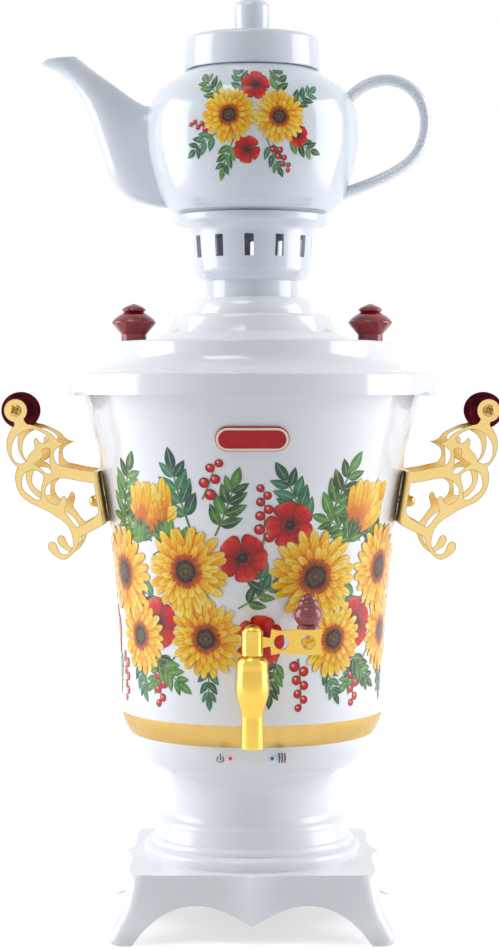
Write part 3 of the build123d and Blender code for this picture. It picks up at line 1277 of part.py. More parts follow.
def teapot_lid():
    """Flat-topped lid whose skirt hangs over the shoulder, with a tall knob and a ring inside the pot's mouth."""
    low = PIECE_Z["pot_lid"]
    top = low + POT_LID_HEIGHT
    edge = shoulder_level(POT_LID_R) + POT_LID_CLEAR
    knob_r, knob_h = POT_KNOB_R, POT_KNOB_HEIGHT
    outer = [
        [(POT_LID_R - 0.8, edge), (POT_LID_R - 0.2, edge + 0.2), (POT_LID_R, edge + 0.8)],
        [(POT_LID_R, edge + 0.8), (POT_LID_R - 0.1, low + 5.0), (POT_LID_R - 0.5, top - 3.6)],
        [(POT_LID_R - 0.5, top - 3.6), (POT_LID_R - 1.3, top - 1.3), (POT_LID_R - 3.7, top - 0.3)],
        [(POT_LID_R - 3.7, top - 0.3), (0.6 * POT_LID_R, top), (0.886 * knob_r, top)],
        [(0.886 * knob_r, top), (0.945 * knob_r, top + 0.25 * knob_h), (knob_r, top + 0.58 * knob_h),
         (0.985 * knob_r, top + 0.77 * knob_h)],
        [(0.985 * knob_r, top + 0.77 * knob_h), (0.86 * knob_r, top + 0.89 * knob_h),
         (0.52 * knob_r, top + 0.973 * knob_h), (0, top + knob_h)],
    ]
    plug_r = POT_MOUTH_R - POT_WALL - LID_GAP
    under = top - 4.6
    inner = path_of((0, under), (plug_r - 3.0, under), (plug_r - 3.0, low - POT_PLUG_DEPTH),
                    (plug_r, low - POT_PLUG_DEPTH), (plug_r, low), (POT_MOUTH_R + 1.4, low),
                    (POT_LID_R - 0.8, edge))
    return turned(closed(outer, inner))


# ================================================================ badge
def badge_plate():
    """Blank pill-shaped plate on the front of the tank."""
    low, high = BADGE_Z - BADGE_SIZE[1], BADGE_Z + BADGE_SIZE[1]
    plane = Plane(origin=(0, -TANK_RIM_R - 9, BADGE_Z), x_dir=(1, 0, 0), z_dir=(0, 1, 0))
    block = extrude(plane * SlotOverall(*BADGE_SIZE), TANK_RIM_R)
    skin = turned(closed(tank_strokes(low, high, 3, FIT_GAP + BADGE_THICK),
                         reverse(tank_strokes(low, high, 3, FIT_GAP))))
    return block & skin


# ================================================================ output
def solids_of(piece):
    """All solids of a piece, a group or a list of pieces."""
    if isinstance(piece, (list, tuple)):
        return [solid for part in piece for solid in part.solids()]
    return list(piece.solids())


def write(name, piece):
    """Writes one node's STEP file."""
    export_step(Compound(children=solids_of(piece)), f"parts/{name}.step")


def main():
    os.makedirs("parts", exist_ok=True)
    frame, grip, screws = handle_frame(), handle_grip(), grip_screws()
    bolt, nut = handle_bolt(), acorn_nut()
    knob = lid_knob()
    pieces = {
        "base_foot": base_foot(),
        "foot_pads": foot_pads(),
        "bottom_cover": bottom_cover(),
        "bottom_cover_screws": cover_screws(),
        "base_housing": base_housing(),
        "power_inlet": power_inlet(),
        "power_inlet_pins": inlet_pins(),
        "indicator_board": indicator_board(),
        "trim_band": trim_band(),
        "tank_shell": tank_shell(),
        "tank_floor": tank_floor(),
        "heating_element": heating_element(),
        "heater_nuts": heater_nuts(),
        "thermostat": thermostat(),
        "thermal_fuse": thermal_fuse(),
        "tie_bolt": tie_bolt(),
        "tie_nut": tie_nut(),
        "tap_body": tap_body(),
        "tap_bonnet": tap_bonnet(),
        "tap_plug": tap_plug(),
        "tap_lever": tap_lever(),
        "tap_cap": tap_cap(),
        "tap_knob": tap_knob(),
        "tap_gasket": tap_gasket(),
        "tap_nut": tap_nut(),
        "handle_frame_left": frame,
        "handle_frame_right": mirrored(frame),
        "handle_grip_left": grip,
        "handle_grip_right": mirrored(grip),
        "handle_grip_screws": screws + [mirrored(screw) for screw in screws],
        "handle_bolts": [bolt, mirrored(bolt)],
        "handle_acorn_nuts": [nut, mirrored(nut)],
        "badge_plate": badge_plate(),
        "samovar_lid": samovar_lid(),
        "lid_knob_left": knob,
        "lid_knob_right": mirrored(knob),
        "lid_knob_screws": lid_knob_screws(),
        "teapot_stand": teapot_stand(),
        "teapot_body": teapot_body(),
        "teapot_lid": teapot_lid(),
    }
    for name, x in LAMP_X.items():
        pieces[name] = lamp(x)
    for name, piece in pieces.items():
        write(name, piece)


main()
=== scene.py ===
"""Looks of an electric samovar with its teapot: enamel, glaze, gilding, a flower print, lamp signs, studio.

Everything is in metres in the CAD frame: +Z is up, the tap faces -Y, the origin is on the ground.
Flat drawings are in millimetres across and up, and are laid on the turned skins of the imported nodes.
"""

import math
import random

import bmesh
import bpy
import numpy as np
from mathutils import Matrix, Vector
from mathutils.bvhtree import BVHTree


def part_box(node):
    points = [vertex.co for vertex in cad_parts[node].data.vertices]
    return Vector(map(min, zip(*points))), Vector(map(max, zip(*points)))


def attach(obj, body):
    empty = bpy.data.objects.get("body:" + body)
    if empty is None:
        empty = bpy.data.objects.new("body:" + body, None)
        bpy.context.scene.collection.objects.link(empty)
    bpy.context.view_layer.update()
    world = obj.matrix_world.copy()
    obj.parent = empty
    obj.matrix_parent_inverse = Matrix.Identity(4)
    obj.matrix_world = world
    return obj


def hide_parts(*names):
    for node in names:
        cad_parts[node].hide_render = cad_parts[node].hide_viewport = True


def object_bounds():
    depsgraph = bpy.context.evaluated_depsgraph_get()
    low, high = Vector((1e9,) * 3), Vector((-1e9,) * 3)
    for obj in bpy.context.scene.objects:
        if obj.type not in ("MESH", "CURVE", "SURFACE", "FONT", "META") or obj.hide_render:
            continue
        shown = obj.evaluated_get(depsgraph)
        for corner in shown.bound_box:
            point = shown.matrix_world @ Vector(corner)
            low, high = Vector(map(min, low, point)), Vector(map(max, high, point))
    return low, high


MM = 0.001

# -------- camera
CAMERA_PLACE = (-0.0015, -1.276, 0.300)
CAMERA_DIP = 1.94       # degrees below level
LENS = 83.46
SENSOR = 36.0

# -------- studio
WORLD_FRONT = 0.17      # light from behind the camera
WORLD_BACK = 0.72       # light from the pale backdrop
SIDE_LAMP_PLACE = (1.15, 0.02, 0.4)
SIDE_LAMP_SIZE = (0.8, 1.4)
SIDE_LAMP_POWER = 13.0
TOP_LAMP_PLACE = (-0.3, -0.45, 1.35)
TOP_LAMP_SIZE = (0.5, 0.4)
TOP_LAMP_POWER = 2.2
FLOOR_SIDE = 14.0
FLOOR_GLOW = 0.62

# -------- skins and nicks
SKIN_RAYS = 17          # rays from the front that look for the widest spot of a level
SKIN_DEGREE = 6
NICK = (-64.4 * MM, 7.15 * MM, 418.4 * MM)
NICK_WAY = (-0.19, 0.77, -0.6)
HEAL_R = 3.2 * MM       # half the side of the square that the fit looks at
HEAL_STEPS = 12
HEAL_RAYS = 25
HEAL_SPREAD = 0.8       # radius of the patch, as a share of that
HEAL_FITS = 3           # each leaves out what the one before took for nick
HEAL_CROWN = 0.1 * MM   # middle of the patch above its edge
HEAL_EDGE = 0.04 * MM   # edge of the patch under the wall
HEAL_THICK = 0.5 * MM
HEAL_SLACK = 0.15 * MM  # a spot further under the fit than this belongs to the nick

# -------- badge and signs, drawn in millimetres
RIM_INSET = 1.15        # middle of the badge's pale line, in from its edge
RIM_WIDTH = 1.2
RIM_TOP = 1.32 * MM
RIM_UNDER = 1.05 * MM
SIGN_GAP = 5.6          # middle of a lamp's sign from the middle of the lamp
SIGN_LINE = 0.6
SIGN_LIFT = 0.2 * MM
POWER_R = 1.9
POWER_DROP = 0.2        # middle of the power sign's ring under the lamp's level
POWER_TOP = 2.4
POWER_OPEN = 0.7        # half of the ring's opening, in radians
HEAT_SHIFTS = (-1.6, 0.0, 1.6)
HEAT_REACH = 2.7
HEAT_LINE = 0.8
HEAT_SWAY = 0.16        # how far a line of the heat sign sways to each side
HEAT_WAVE = 2.3         # radians of sway to a millimetre of height

# -------- domed heads of the grip screws
HEAD_R = 3.5 * MM
HEAD_HEIGHT = 2.25 * MM
HEAD_STEPS = 28
HEAD_TURN = 0.5
HEAD_RIM = 0.3          # share of the height that the rim has
CROSS_ARM = 2.3 * MM
CROSS_HALF = 0.62 * MM
CROSS_DEPTH = 1.3 * MM

# -------- print
PRINT_BASE = 0.02 * MM  # underside of a printed shape above the skin
PRINT_LOW = 0.13        # the lowest printed shape lies this high above the skin, in millimetres
LEVEL_STEP = 0.011      # from one flower's layer to the next
SHAPE_STEP = 0.002      # from one shape of a layer to the next
SKIN_MARGIN = 14 * MM   # what a skin leaves free at the rim of its node
SEED = 11
GARLAND_REPEATS = 4
STRAP_HALF = 34.0       # no sprig starts this near the middle of a handle strap
STRAP_LOW = 196.0       # unless it starts under this level
GARLAND_SPRIGS = (      # root, heading, length, pairs of leaflets, bend, colour
    (-60, 222, 2.6, 30, 4, 0.1, "leaf"), (-34, 230, 1.9, 36, 4, -0.1, "frond"),
    (-20, 226, 1.1, 32, 4, 0.1, "leaf"), (30, 228, 1.9, 34, 4, 0.1, "frond"),
    (42, 230, 1.3, 36, 4, -0.1, "leaf"), (66, 214, 0.5, 28, 4, -0.1, "frond"),
    (-56, 190, 3.0, 28, 3, -0.1, "frond"), (-46, 160, -2.3, 28, 4, -0.1, "leaf"),
    (-25, 156, -1.7, 22, 3, 0.1, "frond"), (-8, 186, 0.5, 26, 3, 0.1, "leaf"),
    (8, 190, 1.9, 26, 3, -0.1, "frond"), (15, 160, -1.9, 24, 4, 0.12, "leaf"),
    (45, 156, -1.3, 22, 3, 0.1, "frond"), (62, 160, -0.8, 28, 4, 0.1, "leaf"),
    (70, 190, 0.1, 24, 3, 0.1, "leaf"))
POSY_SPRIGS = (         # root, heading, length, pairs of leaflets, colour
    (-16, 464, 2.3, 22, 3, "leaf"), (-4, 466, 1.8, 21, 3, "frond"), (12, 466, 1.1, 22, 3, "leaf"),
    (20, 462, 0.4, 20, 3, "frond"), (-18, 448, -2.7, 21, 3, "frond"), (-10, 444, -2.1, 20, 3, "leaf"),
    (8, 444, -1.2, 19, 3, "frond"), (18, 446, -0.5, 21, 3, "leaf"))


# ======== colours and node graphs
def srgb(red, green, blue):
    """Scene-linear colour of a display colour given from 0 to 255."""
    linear = []
    for value in (red, green, blue):
        share = value / 255
        linear.append(share / 12.92 if share <= 0.04045 else ((share + 0.055) / 1.055) ** 2.4)
    return (*linear, 1.0)


def scaled(colour, share):
    """Colour made darker or lighter."""
    return (*[share * value for value in colour[:3]], 1)


class Graph:
    """Short hand for one material's nodes."""

    def __init__(self, name):
        self.material = bpy.data.materials.new(name)
        self.material.use_nodes = True
        self.tree = self.material.node_tree
        self.shader = self.tree.nodes["Principled BSDF"]

    def feed(self, socket, value):
        """Links a socket to another one, or sets its own value."""
        if isinstance(value, bpy.types.NodeSocket):
            self.tree.links.new(value, socket)
        else:
            socket.default_value = value

    def add(self, kind, inputs=None, **settings):
        """A new node with its settings and inputs."""
        made = self.tree.nodes.new(kind)
        for key, value in settings.items():
            setattr(made, key, value)
        for key, value in (inputs or {}).items():
            self.feed(made.inputs[key], value)
        return made

    def surface(self, **values):
        """Sets the shader's sockets; an underscore in a name stands for a space."""
        for key, value in values.items():
            self.feed(self.shader.inputs[key.replace("_", " ")], value)

    def place(self, scale=(1, 1, 1)):
        """Object coordinates, stretched."""
        place = self.add("ShaderNodeTexCoord").outputs["Object"]
        return self.add("ShaderNodeMapping", {"Vector": place, "Scale": scale}).outputs[0]

    def noise(self, vector, scale, detail=2.0, rough=0.5, distortion=0.0):
        """Value of a noise from 0 to 1."""
        inputs = {"Vector": vector, "Scale": scale, "Detail": detail, "Roughness": rough,
                  "Distortion": distortion}
        return self.add("ShaderNodeTexNoise", inputs).outputs["Fac"]

    def math(self, kind, first, second=0.0):
        """One step of arithmetic."""
        return self.add("ShaderNodeMath", {0: first, 1: second}, operation=kind).outputs[0]

    def span(self, value, low, high, new_low, new_high):
        """Maps a range of values to another."""
        return self.add("ShaderNodeMapRange", {"Value": value, "From Min": low, "From Max": high,
                                               "To Min": new_low, "To Max": new_high}).outputs[0]

    def ramp(self, value, stops, smooth=True):
        """Colour that runs through (position, colour) stops."""
        made = self.add("ShaderNodeValToRGB", {"Fac": value})
        made.color_ramp.interpolation = "EASE" if smooth else "LINEAR"
        elements = made.color_ramp.elements
        while len(elements) < len(stops):
            elements.new(0.5)
        for element, (position, colour) in zip(elements, stops):
            element.position = position
            element.color = colour
        return made.outputs["Color"]

    def vector(self, kind, first, second=None, output="Vector"):
        """One step of vector arithmetic."""
        inputs = {0: first} if second is None else {0: first, 1: second}
        return self.add("ShaderNodeVectorMath", inputs, operation=kind).outputs[output]

    def mix(self, share, first, second):
        """Mix of two colours."""
        made = self.add("ShaderNodeMix", data_type="RGBA")
        self.feed(made.inputs[0], share)
        self.feed(made.inputs[6], first)
        self.feed(made.inputs[7], second)
        return made.outputs[2]

    def bump(self, height, strength, distance, normal=None):
        """Surface relief from a height."""
        made = self.add("ShaderNodeBump", {"Height": height, "Strength": strength, "Distance": distance})
        if normal is not None:
            self.feed(made.inputs["Normal"], normal)
        return made.outputs[0]


# ======== materials of the CAD nodes
def glossy_white(name, colour, roughness, coat, ripple, ripple_size):
    """White enamel, glaze or moulding: faint clouding, and a skin that ripples a little."""
    graph = Graph(name)
    place = graph.place()
    cloud = graph.noise(place, 9.0, 3.0)
    tint = graph.ramp(cloud, [(0.3, scaled(colour, 0.965)), (0.7, colour)])
    peel = graph.noise(place, 1 / ripple_size, 2.0)
    gloss = graph.span(graph.noise(place, 55.0, 4.0), 0.2, 0.8, roughness * 0.75, roughness * 1.3)
    graph.surface(Base_Color=tint, Roughness=gloss, IOR=1.5, Coat_Weight=coat, Coat_Roughness=0.04,
                  Normal=graph.bump(peel, ripple, 0.3 * MM))
    return graph.material


def painted_rim_reflection(graph, tint, colour):
    """Painted dark reflection on the rims of the sheet, where a rounded normal parts from the flat one."""
    rounded = graph.add("ShaderNodeBevel", {"Radius": 0.9 * MM}, samples=8).outputs[0]
    flat = graph.add("ShaderNodeNewGeometry").outputs["Normal"]
    match = graph.vector("DOT_PRODUCT", rounded, flat, "Value")
    return graph.mix(graph.span(match, 0.82, 0.995, 0.95, 0.0), tint, colour)


def plated(name, colour, shade, roughness, scratch=0.06, edge=None):
    """Polished plating: soft patches of duller metal and hairline scratches, and, when an edge colour is
    given, a painted dark reflection along the rims.
    """
    graph = Graph(name)
    place = graph.place()
    cloud = graph.noise(place, 40.0, 4.0, 0.6)
    tint = graph.mix(cloud, colour, shade)
    # edge is the colour of a painted dark reflection along the rims of the sheet
    if edge is not None:
        tint = painted_rim_reflection(graph, tint, edge)
    dull = graph.noise(place, 160.0, 5.0, 0.65)
    hair = graph.noise(graph.place((900, 900, 60)), 1.0, 3.0, 0.7, 0.4)
    gloss = graph.span(dull, 0.25, 0.75, roughness * 0.7, roughness * 1.4)
    relief = graph.bump(hair, scratch, 0.05 * MM, graph.bump(cloud, 0.12, 0.25 * MM))
    graph.surface(Base_Color=tint, Metallic=1.0, Roughness=gloss, Normal=relief)
    return graph.material


def dark_resin(name, colour, deep, roughness, specular=0.5, coat=0.3):
    """Pressed phenolic resin: deep colour in slow swirls under a clear gloss."""
    graph = Graph(name)
    swirl = graph.noise(graph.place((1, 1, 2.2)), 60.0, 3.0, 0.5, 1.0)
    tint = graph.ramp(swirl, [(0.3, deep), (0.7, colour)])
    fine = graph.noise(graph.place(), 620.0, 2.0)
    gloss = graph.span(fine, 0.3, 0.7, roughness * 0.8, roughness * 1.25)
    graph.surface(Base_Color=tint, Roughness=gloss, IOR=1.5, Specular_IOR_Level=specular, Coat_Weight=coat,
                  Coat_Roughness=0.04, Normal=graph.bump(fine, 0.04, 0.1 * MM))
    return graph.material


def dull_solid(name, colour, roughness, grain):
    """Rubber or matt plastic with a fine grain."""
    graph = Graph(name)
    fine = graph.noise(graph.place(), 1 / grain, 3.0, 0.6)
    tint = graph.mix(fine, colour, scaled(colour, 1.5))
    graph.surface(Base_Color=tint, Roughness=graph.span(fine, 0.2, 0.8, roughness * 0.85, roughness),
                  Normal=graph.bump(fine, 0.25, 0.15 * MM))
    return graph.material


def brushed_steel(name):
    """Stainless steel with turned brushing."""
    graph = Graph(name)
    grain = graph.noise(graph.place((30, 30, 1400)), 1.0, 4.0, 0.7)
    tint = graph.mix(grain, (0.60, 0.60, 0.61, 1), (0.74, 0.74, 0.75, 1))
    graph.surface(Base_Color=tint, Metallic=1.0, Roughness=graph.span(grain, 0.2, 0.8, 0.2, 0.34),
                  Normal=graph.bump(grain, 0.12, 0.1 * MM))
    return graph.material


def board_lacquer(name):
    """Green circuit board with paler tracks under its lacquer."""
    graph = Graph(name)
    tracks = graph.add("ShaderNodeTexBrick", {"Vector": graph.place((1, 1, 1)), "Scale": 260.0,
                                              "Mortar Size": 0.08}).outputs["Fac"]
    tint = graph.mix(tracks, (0.012, 0.105, 0.045, 1), (0.05, 0.24, 0.10, 1))
    graph.surface(Base_Color=tint, Roughness=0.35, Normal=graph.bump(tracks, 0.4, 0.05 * MM))
    return graph.material


def lamp_lens(name, node, core, body, painted_rim_highlight):
    """Tinted lens that glows a little: a deep core, a brighter body and a pale rim that is a painted
    highlight.
    """
    graph = Graph(name)
    low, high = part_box(node)
    middle = (low + high) / 2
    place = graph.add("ShaderNodeTexCoord").outputs["Object"]
    flat = graph.vector("MULTIPLY", graph.vector("SUBTRACT", place, middle), (1, 0, 1))
    reach = graph.vector("LENGTH", flat, output="Value")
    cloud = graph.span(graph.noise(place, 1500.0, 2.0), 0.2, 0.8, -0.06, 0.06)
    share = graph.math("ADD", graph.math("DIVIDE", reach, (high.x - low.x) / 2), cloud)
    # from 0.72 out to the rim the lens carries its painted pale highlight
    tint = graph.ramp(share, [(0.2, core), (0.5, body), (0.72, painted_rim_highlight), (1.0, painted_rim_highlight)])
    graph.surface(Base_Color=tint, Roughness=0.12, Emission_Color=tint, Emission_Strength=0.25,
                  Coat_Weight=0.6)
    return graph.material


def red_enamel(name):
    """Glossy red plate with a slightly darker, uneven ground."""
    graph = Graph(name)
    cloud = graph.noise(graph.place(), 120.0, 4.0, 0.6)
    tint = graph.ramp(cloud, [(0.25, srgb(178, 14, 26)), (0.75, srgb(200, 22, 34))])
    graph.surface(Base_Color=tint, Roughness=0.3, Specular_IOR_Level=0.25, Coat_Weight=0.1,
                  Coat_Roughness=0.05, Normal=graph.bump(cloud, 0.08, 0.1 * MM))
    return graph.material


def cad_materials():
    """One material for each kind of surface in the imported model."""
    white = srgb(236, 239, 245)
    enamel = glossy_white("white_enamel", white, 0.13, 0.6, 0.10, 3.5 * MM)
    moulding = glossy_white("white_moulding", srgb(235, 238, 244), 0.22, 0.35, 0.14, 1.6 * MM)
    glaze = glossy_white("white_glaze", srgb(218, 225, 234), 0.15, 0.5, 0.06, 6.0 * MM)
    # the last colour of the pale gold is a painted dark reflection along the rims of the handle cheeks
    gold = plated("pale_gold", srgb(246, 217, 150), srgb(236, 200, 124), 0.15, 0.06, srgb(44, 28, 10))
    fitting = plated("fitting_gold", srgb(196, 164, 96), srgb(168, 132, 70), 0.16)
    band = plated("band_gold", srgb(204, 172, 104), srgb(190, 156, 88), 0.4, 0.03)
    tap = plated("tap_gold", srgb(234, 198, 100), srgb(216, 174, 74), 0.17)
    steel = brushed_steel("brushed_steel")
    burgundy = dark_resin("burgundy_resin", srgb(152, 22, 34), srgb(118, 12, 24), 0.1)
    maroon = dark_resin("maroon_resin", srgb(98, 26, 38), srgb(56, 12, 24), 0.45, 0.0, 0.0)
    rose = dark_resin("rose_resin", srgb(152, 62, 70), srgb(124, 42, 52), 0.17)
    # the last colour of each lens is its painted pale highlight round the rim
    red_lens = lamp_lens("red_lens", "led_red", srgb(140, 20, 40), srgb(206, 90, 104), srgb(240, 196, 200))
    blue_lens = lamp_lens("blue_lens", "led_blue", srgb(20, 56, 110), srgb(70, 116, 176),
                          srgb(186, 208, 236))
    rubber = dull_solid("black_rubber", (0.018, 0.018, 0.019, 1), 0.75, 0.5 * MM)
    black = dull_solid("black_plastic", (0.02, 0.02, 0.021, 1), 0.5, 0.8 * MM)
    return {
        moulding: ("base_foot", "base_housing"),
        enamel: ("tank_shell", "samovar_lid"),
        glaze: ("teapot_stand", "teapot_body", "teapot_lid"),
        gold: ("handle_frame_left", "handle_frame_right"),
        fitting: ("handle_grip_screws", "handle_acorn_nuts"),
        band: ("trim_band",),
        tap: ("tap_body", "tap_bonnet", "tap_lever", "tap_cap", "tap_plug", "power_inlet_pins"),
        steel: ("tank_floor", "heating_element", "heater_nuts", "thermostat", "tie_bolt", "tie_nut",
                "tap_nut", "handle_bolts", "lid_knob_screws", "bottom_cover_screws"),
        burgundy: ("lid_knob_left", "lid_knob_right"),
        maroon: ("handle_grip_left", "handle_grip_right"),
        rose: ("tap_knob",),
        rubber: ("foot_pads", "tap_gasket"),
        black: ("bottom_cover", "power_inlet", "thermal_fuse"),
        board_lacquer("board_lacquer"): ("indicator_board",),
        red_enamel("red_enamel"): ("badge_plate",),
        red_lens: ("led_red",),
        blue_lens: ("led_blue",),
    }


def dress_nodes():
    """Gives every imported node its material."""
    for material, names in cad_materials().items():
        for name in names:
            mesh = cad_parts[name].data
            mesh.materials.clear()
            mesh.materials.append(material)


def node_tree(name):
    """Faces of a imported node, for rays to meet."""
    return BVHTree.FromObject(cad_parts[name], bpy.context.evaluated_depsgraph_get())


def bent(i, j):
    """Terms of a surface of the second degree."""
    return (1, i, j, i * i, i * j, j * j)


def wall_heights(tree, middle, out, side, up):
    """Heights over a plane of the wall round a spot, as (across, along, height) of what rays meet."""
    found = []
    for i in np.linspace(-1, 1, HEAL_RAYS):
        for j in np.linspace(-1, 1, HEAL_RAYS):
            start = middle + side * (i * HEAL_R) + up * (j * HEAL_R) + out * HEAL_R
            spot = tree.ray_cast(start, -out, 2 * HEAL_R)[0]
            if spot is not None:
                found.append((i, j, (spot - middle).dot(out)))
    return found


def heal(tree, sheet, middle, out):
    """Lens of glaze that lies flush over a nick in the wall."""
    side = out.cross(Vector((1, 0, 0))).normalized()
    up = out.cross(side).normalized()
    found = wall_heights(tree, middle, out, side, up)
    for _ in range(HEAL_FITS):
        wall = np.linalg.lstsq(np.array([bent(i, j) for i, j, height in found]),
                               np.array([height for i, j, height in found]), rcond=None)[0]
        found = [(i, j, height) for i, j, height in found if height > wall.dot(bent(i, j)) - HEAL_SLACK]
    start = len(sheet.points)
    for thick in (0.0, HEAL_THICK):
        for x, y in sum(disc_grid(HEAL_STEPS), []):
            i, j = HEAL_SPREAD * x, HEAL_SPREAD * y
            crown = HEAL_CROWN * (1 - x * x - y * y) - HEAL_EDGE
            height = wall.dot(bent(i, j)) + crown - thick
            sheet.points.append(middle + side * (i * HEAL_R) + up * (j * HEAL_R) + out * height)
            sheet.places.append((0.5, 0.5))
    sheet.faces += lens_faces(start, HEAL_STEPS + 1, HEAL_STEPS + 1)


def close_nicks():
    """Closes the two nicks that the lowest strainer holes leave in the underside of the spout."""
    tree = node_tree("teapot_body")
    sheet = Sheet()
    for side in (-1, 1):
        middle = Vector((NICK[0], side * NICK[1], NICK[2]))
        heal(tree, sheet, middle, Vector((NICK_WAY[0], side * NICK_WAY[1], NICK_WAY[2])).normalized())
    sheet.build("spout_glaze", bpy.data.materials["white_glaze"], "teapot", "white_ceramic")


# ======== skins of turned nodes
class Skin:
    """Smooth outside of a turned node between two heights, for what is laid on it."""

    def __init__(self, name, low, high, window=0.6, samples=25):
        tree = node_tree(name)
        self.middle = (low + high) / 2
        self.half = (high - low) / 2
        heights = np.linspace(low, high, samples)
        radii = [self.outermost(tree, height, window) for height in heights]
        self.fit = np.poly1d(np.polyfit((heights - self.middle) / self.half, radii, SKIN_DEGREE))
        self.slope = self.fit.deriv()
        self.girth = float(self.fit(0.0))

    @staticmethod
    def outermost(tree, height, window):
        """Largest radius that rays from the front meet at a height."""
        found = 0.0
        for turn in np.linspace(-window, window, SKIN_RAYS):
            away = Vector((math.sin(turn), -math.cos(turn), 0))
            spot = tree.ray_cast(away + Vector((0, 0, height)), -away)[0]
            if spot is not None:
                found = max(found, math.hypot(spot.x, spot.y))
        return found

    def across(self, distance, up):
        """Across value of a spot that far from the front's middle line, measured at its own level."""
        return distance * self.girth / float(self.fit((up * MM - self.middle) / self.half))

    def point(self, across, up, lift):
        """Point of the skin, at millimetres across from the front and up from the ground."""
        share = (up * MM - self.middle) / self.half
        turn = across * MM / self.girth
        x, y = math.sin(turn), -math.cos(turn)
        normal = Vector((x, y, -float(self.slope(share)) / self.half)).normalized()
        radius = float(self.fit(share))
        return Vector((x * radius, y * radius, up * MM)) + normal * lift


def tank_skin():
    """Skin of the tank between its seat and its rim."""
    low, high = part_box("tank_shell")
    return Skin("tank_shell", low.z + 2 * MM, high.z - SKIN_MARGIN)


# ======== thin shapes laid on a skin
def disc_grid(steps):
    """Rows of spots of a round of radius 1, squeezed from a square grid."""
    rows = []
    for i in range(steps + 1):
        row = []
        for j in range(steps + 1):
            a, b = 2 * j / steps - 1, 2 * i / steps - 1
            row.append((a * math.sqrt(1 - b * b / 2), b * math.sqrt(1 - a * a / 2)))
        rows.append(row)
    return rows


def lens_faces(start, count, width):
    """Faces of a closed shape made of two grids of points that follow each other, top and underside."""
    faces = []
    under = start + count * width
    for i in range(count - 1):
        for j in range(width - 1):
            a, b = i * width + j, i * width + j + 1
            c, d = b + width, a + width
            faces.append((start + a, start + b, start + c, start + d))
            faces.append((under + d, under + c, under + b, under + a))
    rim = list(range(width)) + [i * width + width - 1 for i in range(1, count)]
    rim += [(count - 1) * width + j for j in range(width - 2, -1, -1)]
    rim += [i * width for i in range(count - 2, 0, -1)]
    for first, second in zip(rim, rim[1:] + rim[:1]):
        faces.append((start + second, start + first, under + first, under + second))
    return faces


class Sheet:
    """Thin closed shapes of one colour, gathered into one mesh."""

    def __init__(self):
        self.points = []
        self.faces = []
        self.places = []

    def add(self, skin, row, height):
        """Points of one row, at a height above the skin."""
        for (across, up), place in row:
            self.points.append(skin.point(across, up, height))
            self.places.append(place)

    def patch(self, skin, rows, lift, base=PRINT_BASE):
        """Closed patch whose top is a grid of ((across, up), (u, v)), lift above the skin."""
        start = len(self.points)
        for height in (lift, base):
            for row in rows:
                self.add(skin, row, height)
        self.faces += lens_faces(start, len(rows), len(rows[0]))

    def band(self, skin, rows, lift, base=PRINT_BASE):
        """Closed loop of rows of two spots, with no end walls."""
        start = len(self.points)
        for row in rows:
            for height in (base, lift):
                self.add(skin, row, height)
        for i in range(len(rows)):
            here, there = start + 4 * i, start + 4 * ((i + 1) % len(rows))
            for a, b in ((0, 1), (1, 3), (3, 2), (2, 0)):
                self.faces.append((here + a, here + b, there + b, there + a))

    def build(self, name, material, body, slot):
        """The gathered mesh as one piece."""
        mesh = bpy.data.meshes.new(name)
        mesh.from_pydata(self.points, [], self.faces)
        layer = mesh.uv_layers.new(name="drawing")
        corners = np.zeros(len(mesh.loops), np.int32)
        mesh.loops.foreach_get("vertex_index", corners)
        layer.data.foreach_set("uv", np.array(self.places, np.float32)[corners].ravel())
        mesh.materials.append(material)
        tidy_normals(mesh)
        return as_piece(mesh, name, body)


def tidy_normals(mesh, angle=40.0):
    """Outward faces, smooth but for edges sharper than an angle."""
    shape = bmesh.new()
    shape.from_mesh(mesh)
    bmesh.ops.recalc_face_normals(shape, faces=shape.faces)
    shape.to_mesh(mesh)
    shape.free()
    mesh.shade_smooth()
    mesh.set_sharp_from_angle(angle=math.radians(angle))


def placed(name, data):
    """New object in the scene."""
    made = bpy.data.objects.new(name, data)
    bpy.context.scene.collection.objects.link(made)
    return made


def as_piece(mesh, name, body):
    """Links a mesh as a piece that rides on a body."""
    piece = placed(name, mesh)
    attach(piece, body)
    return piece


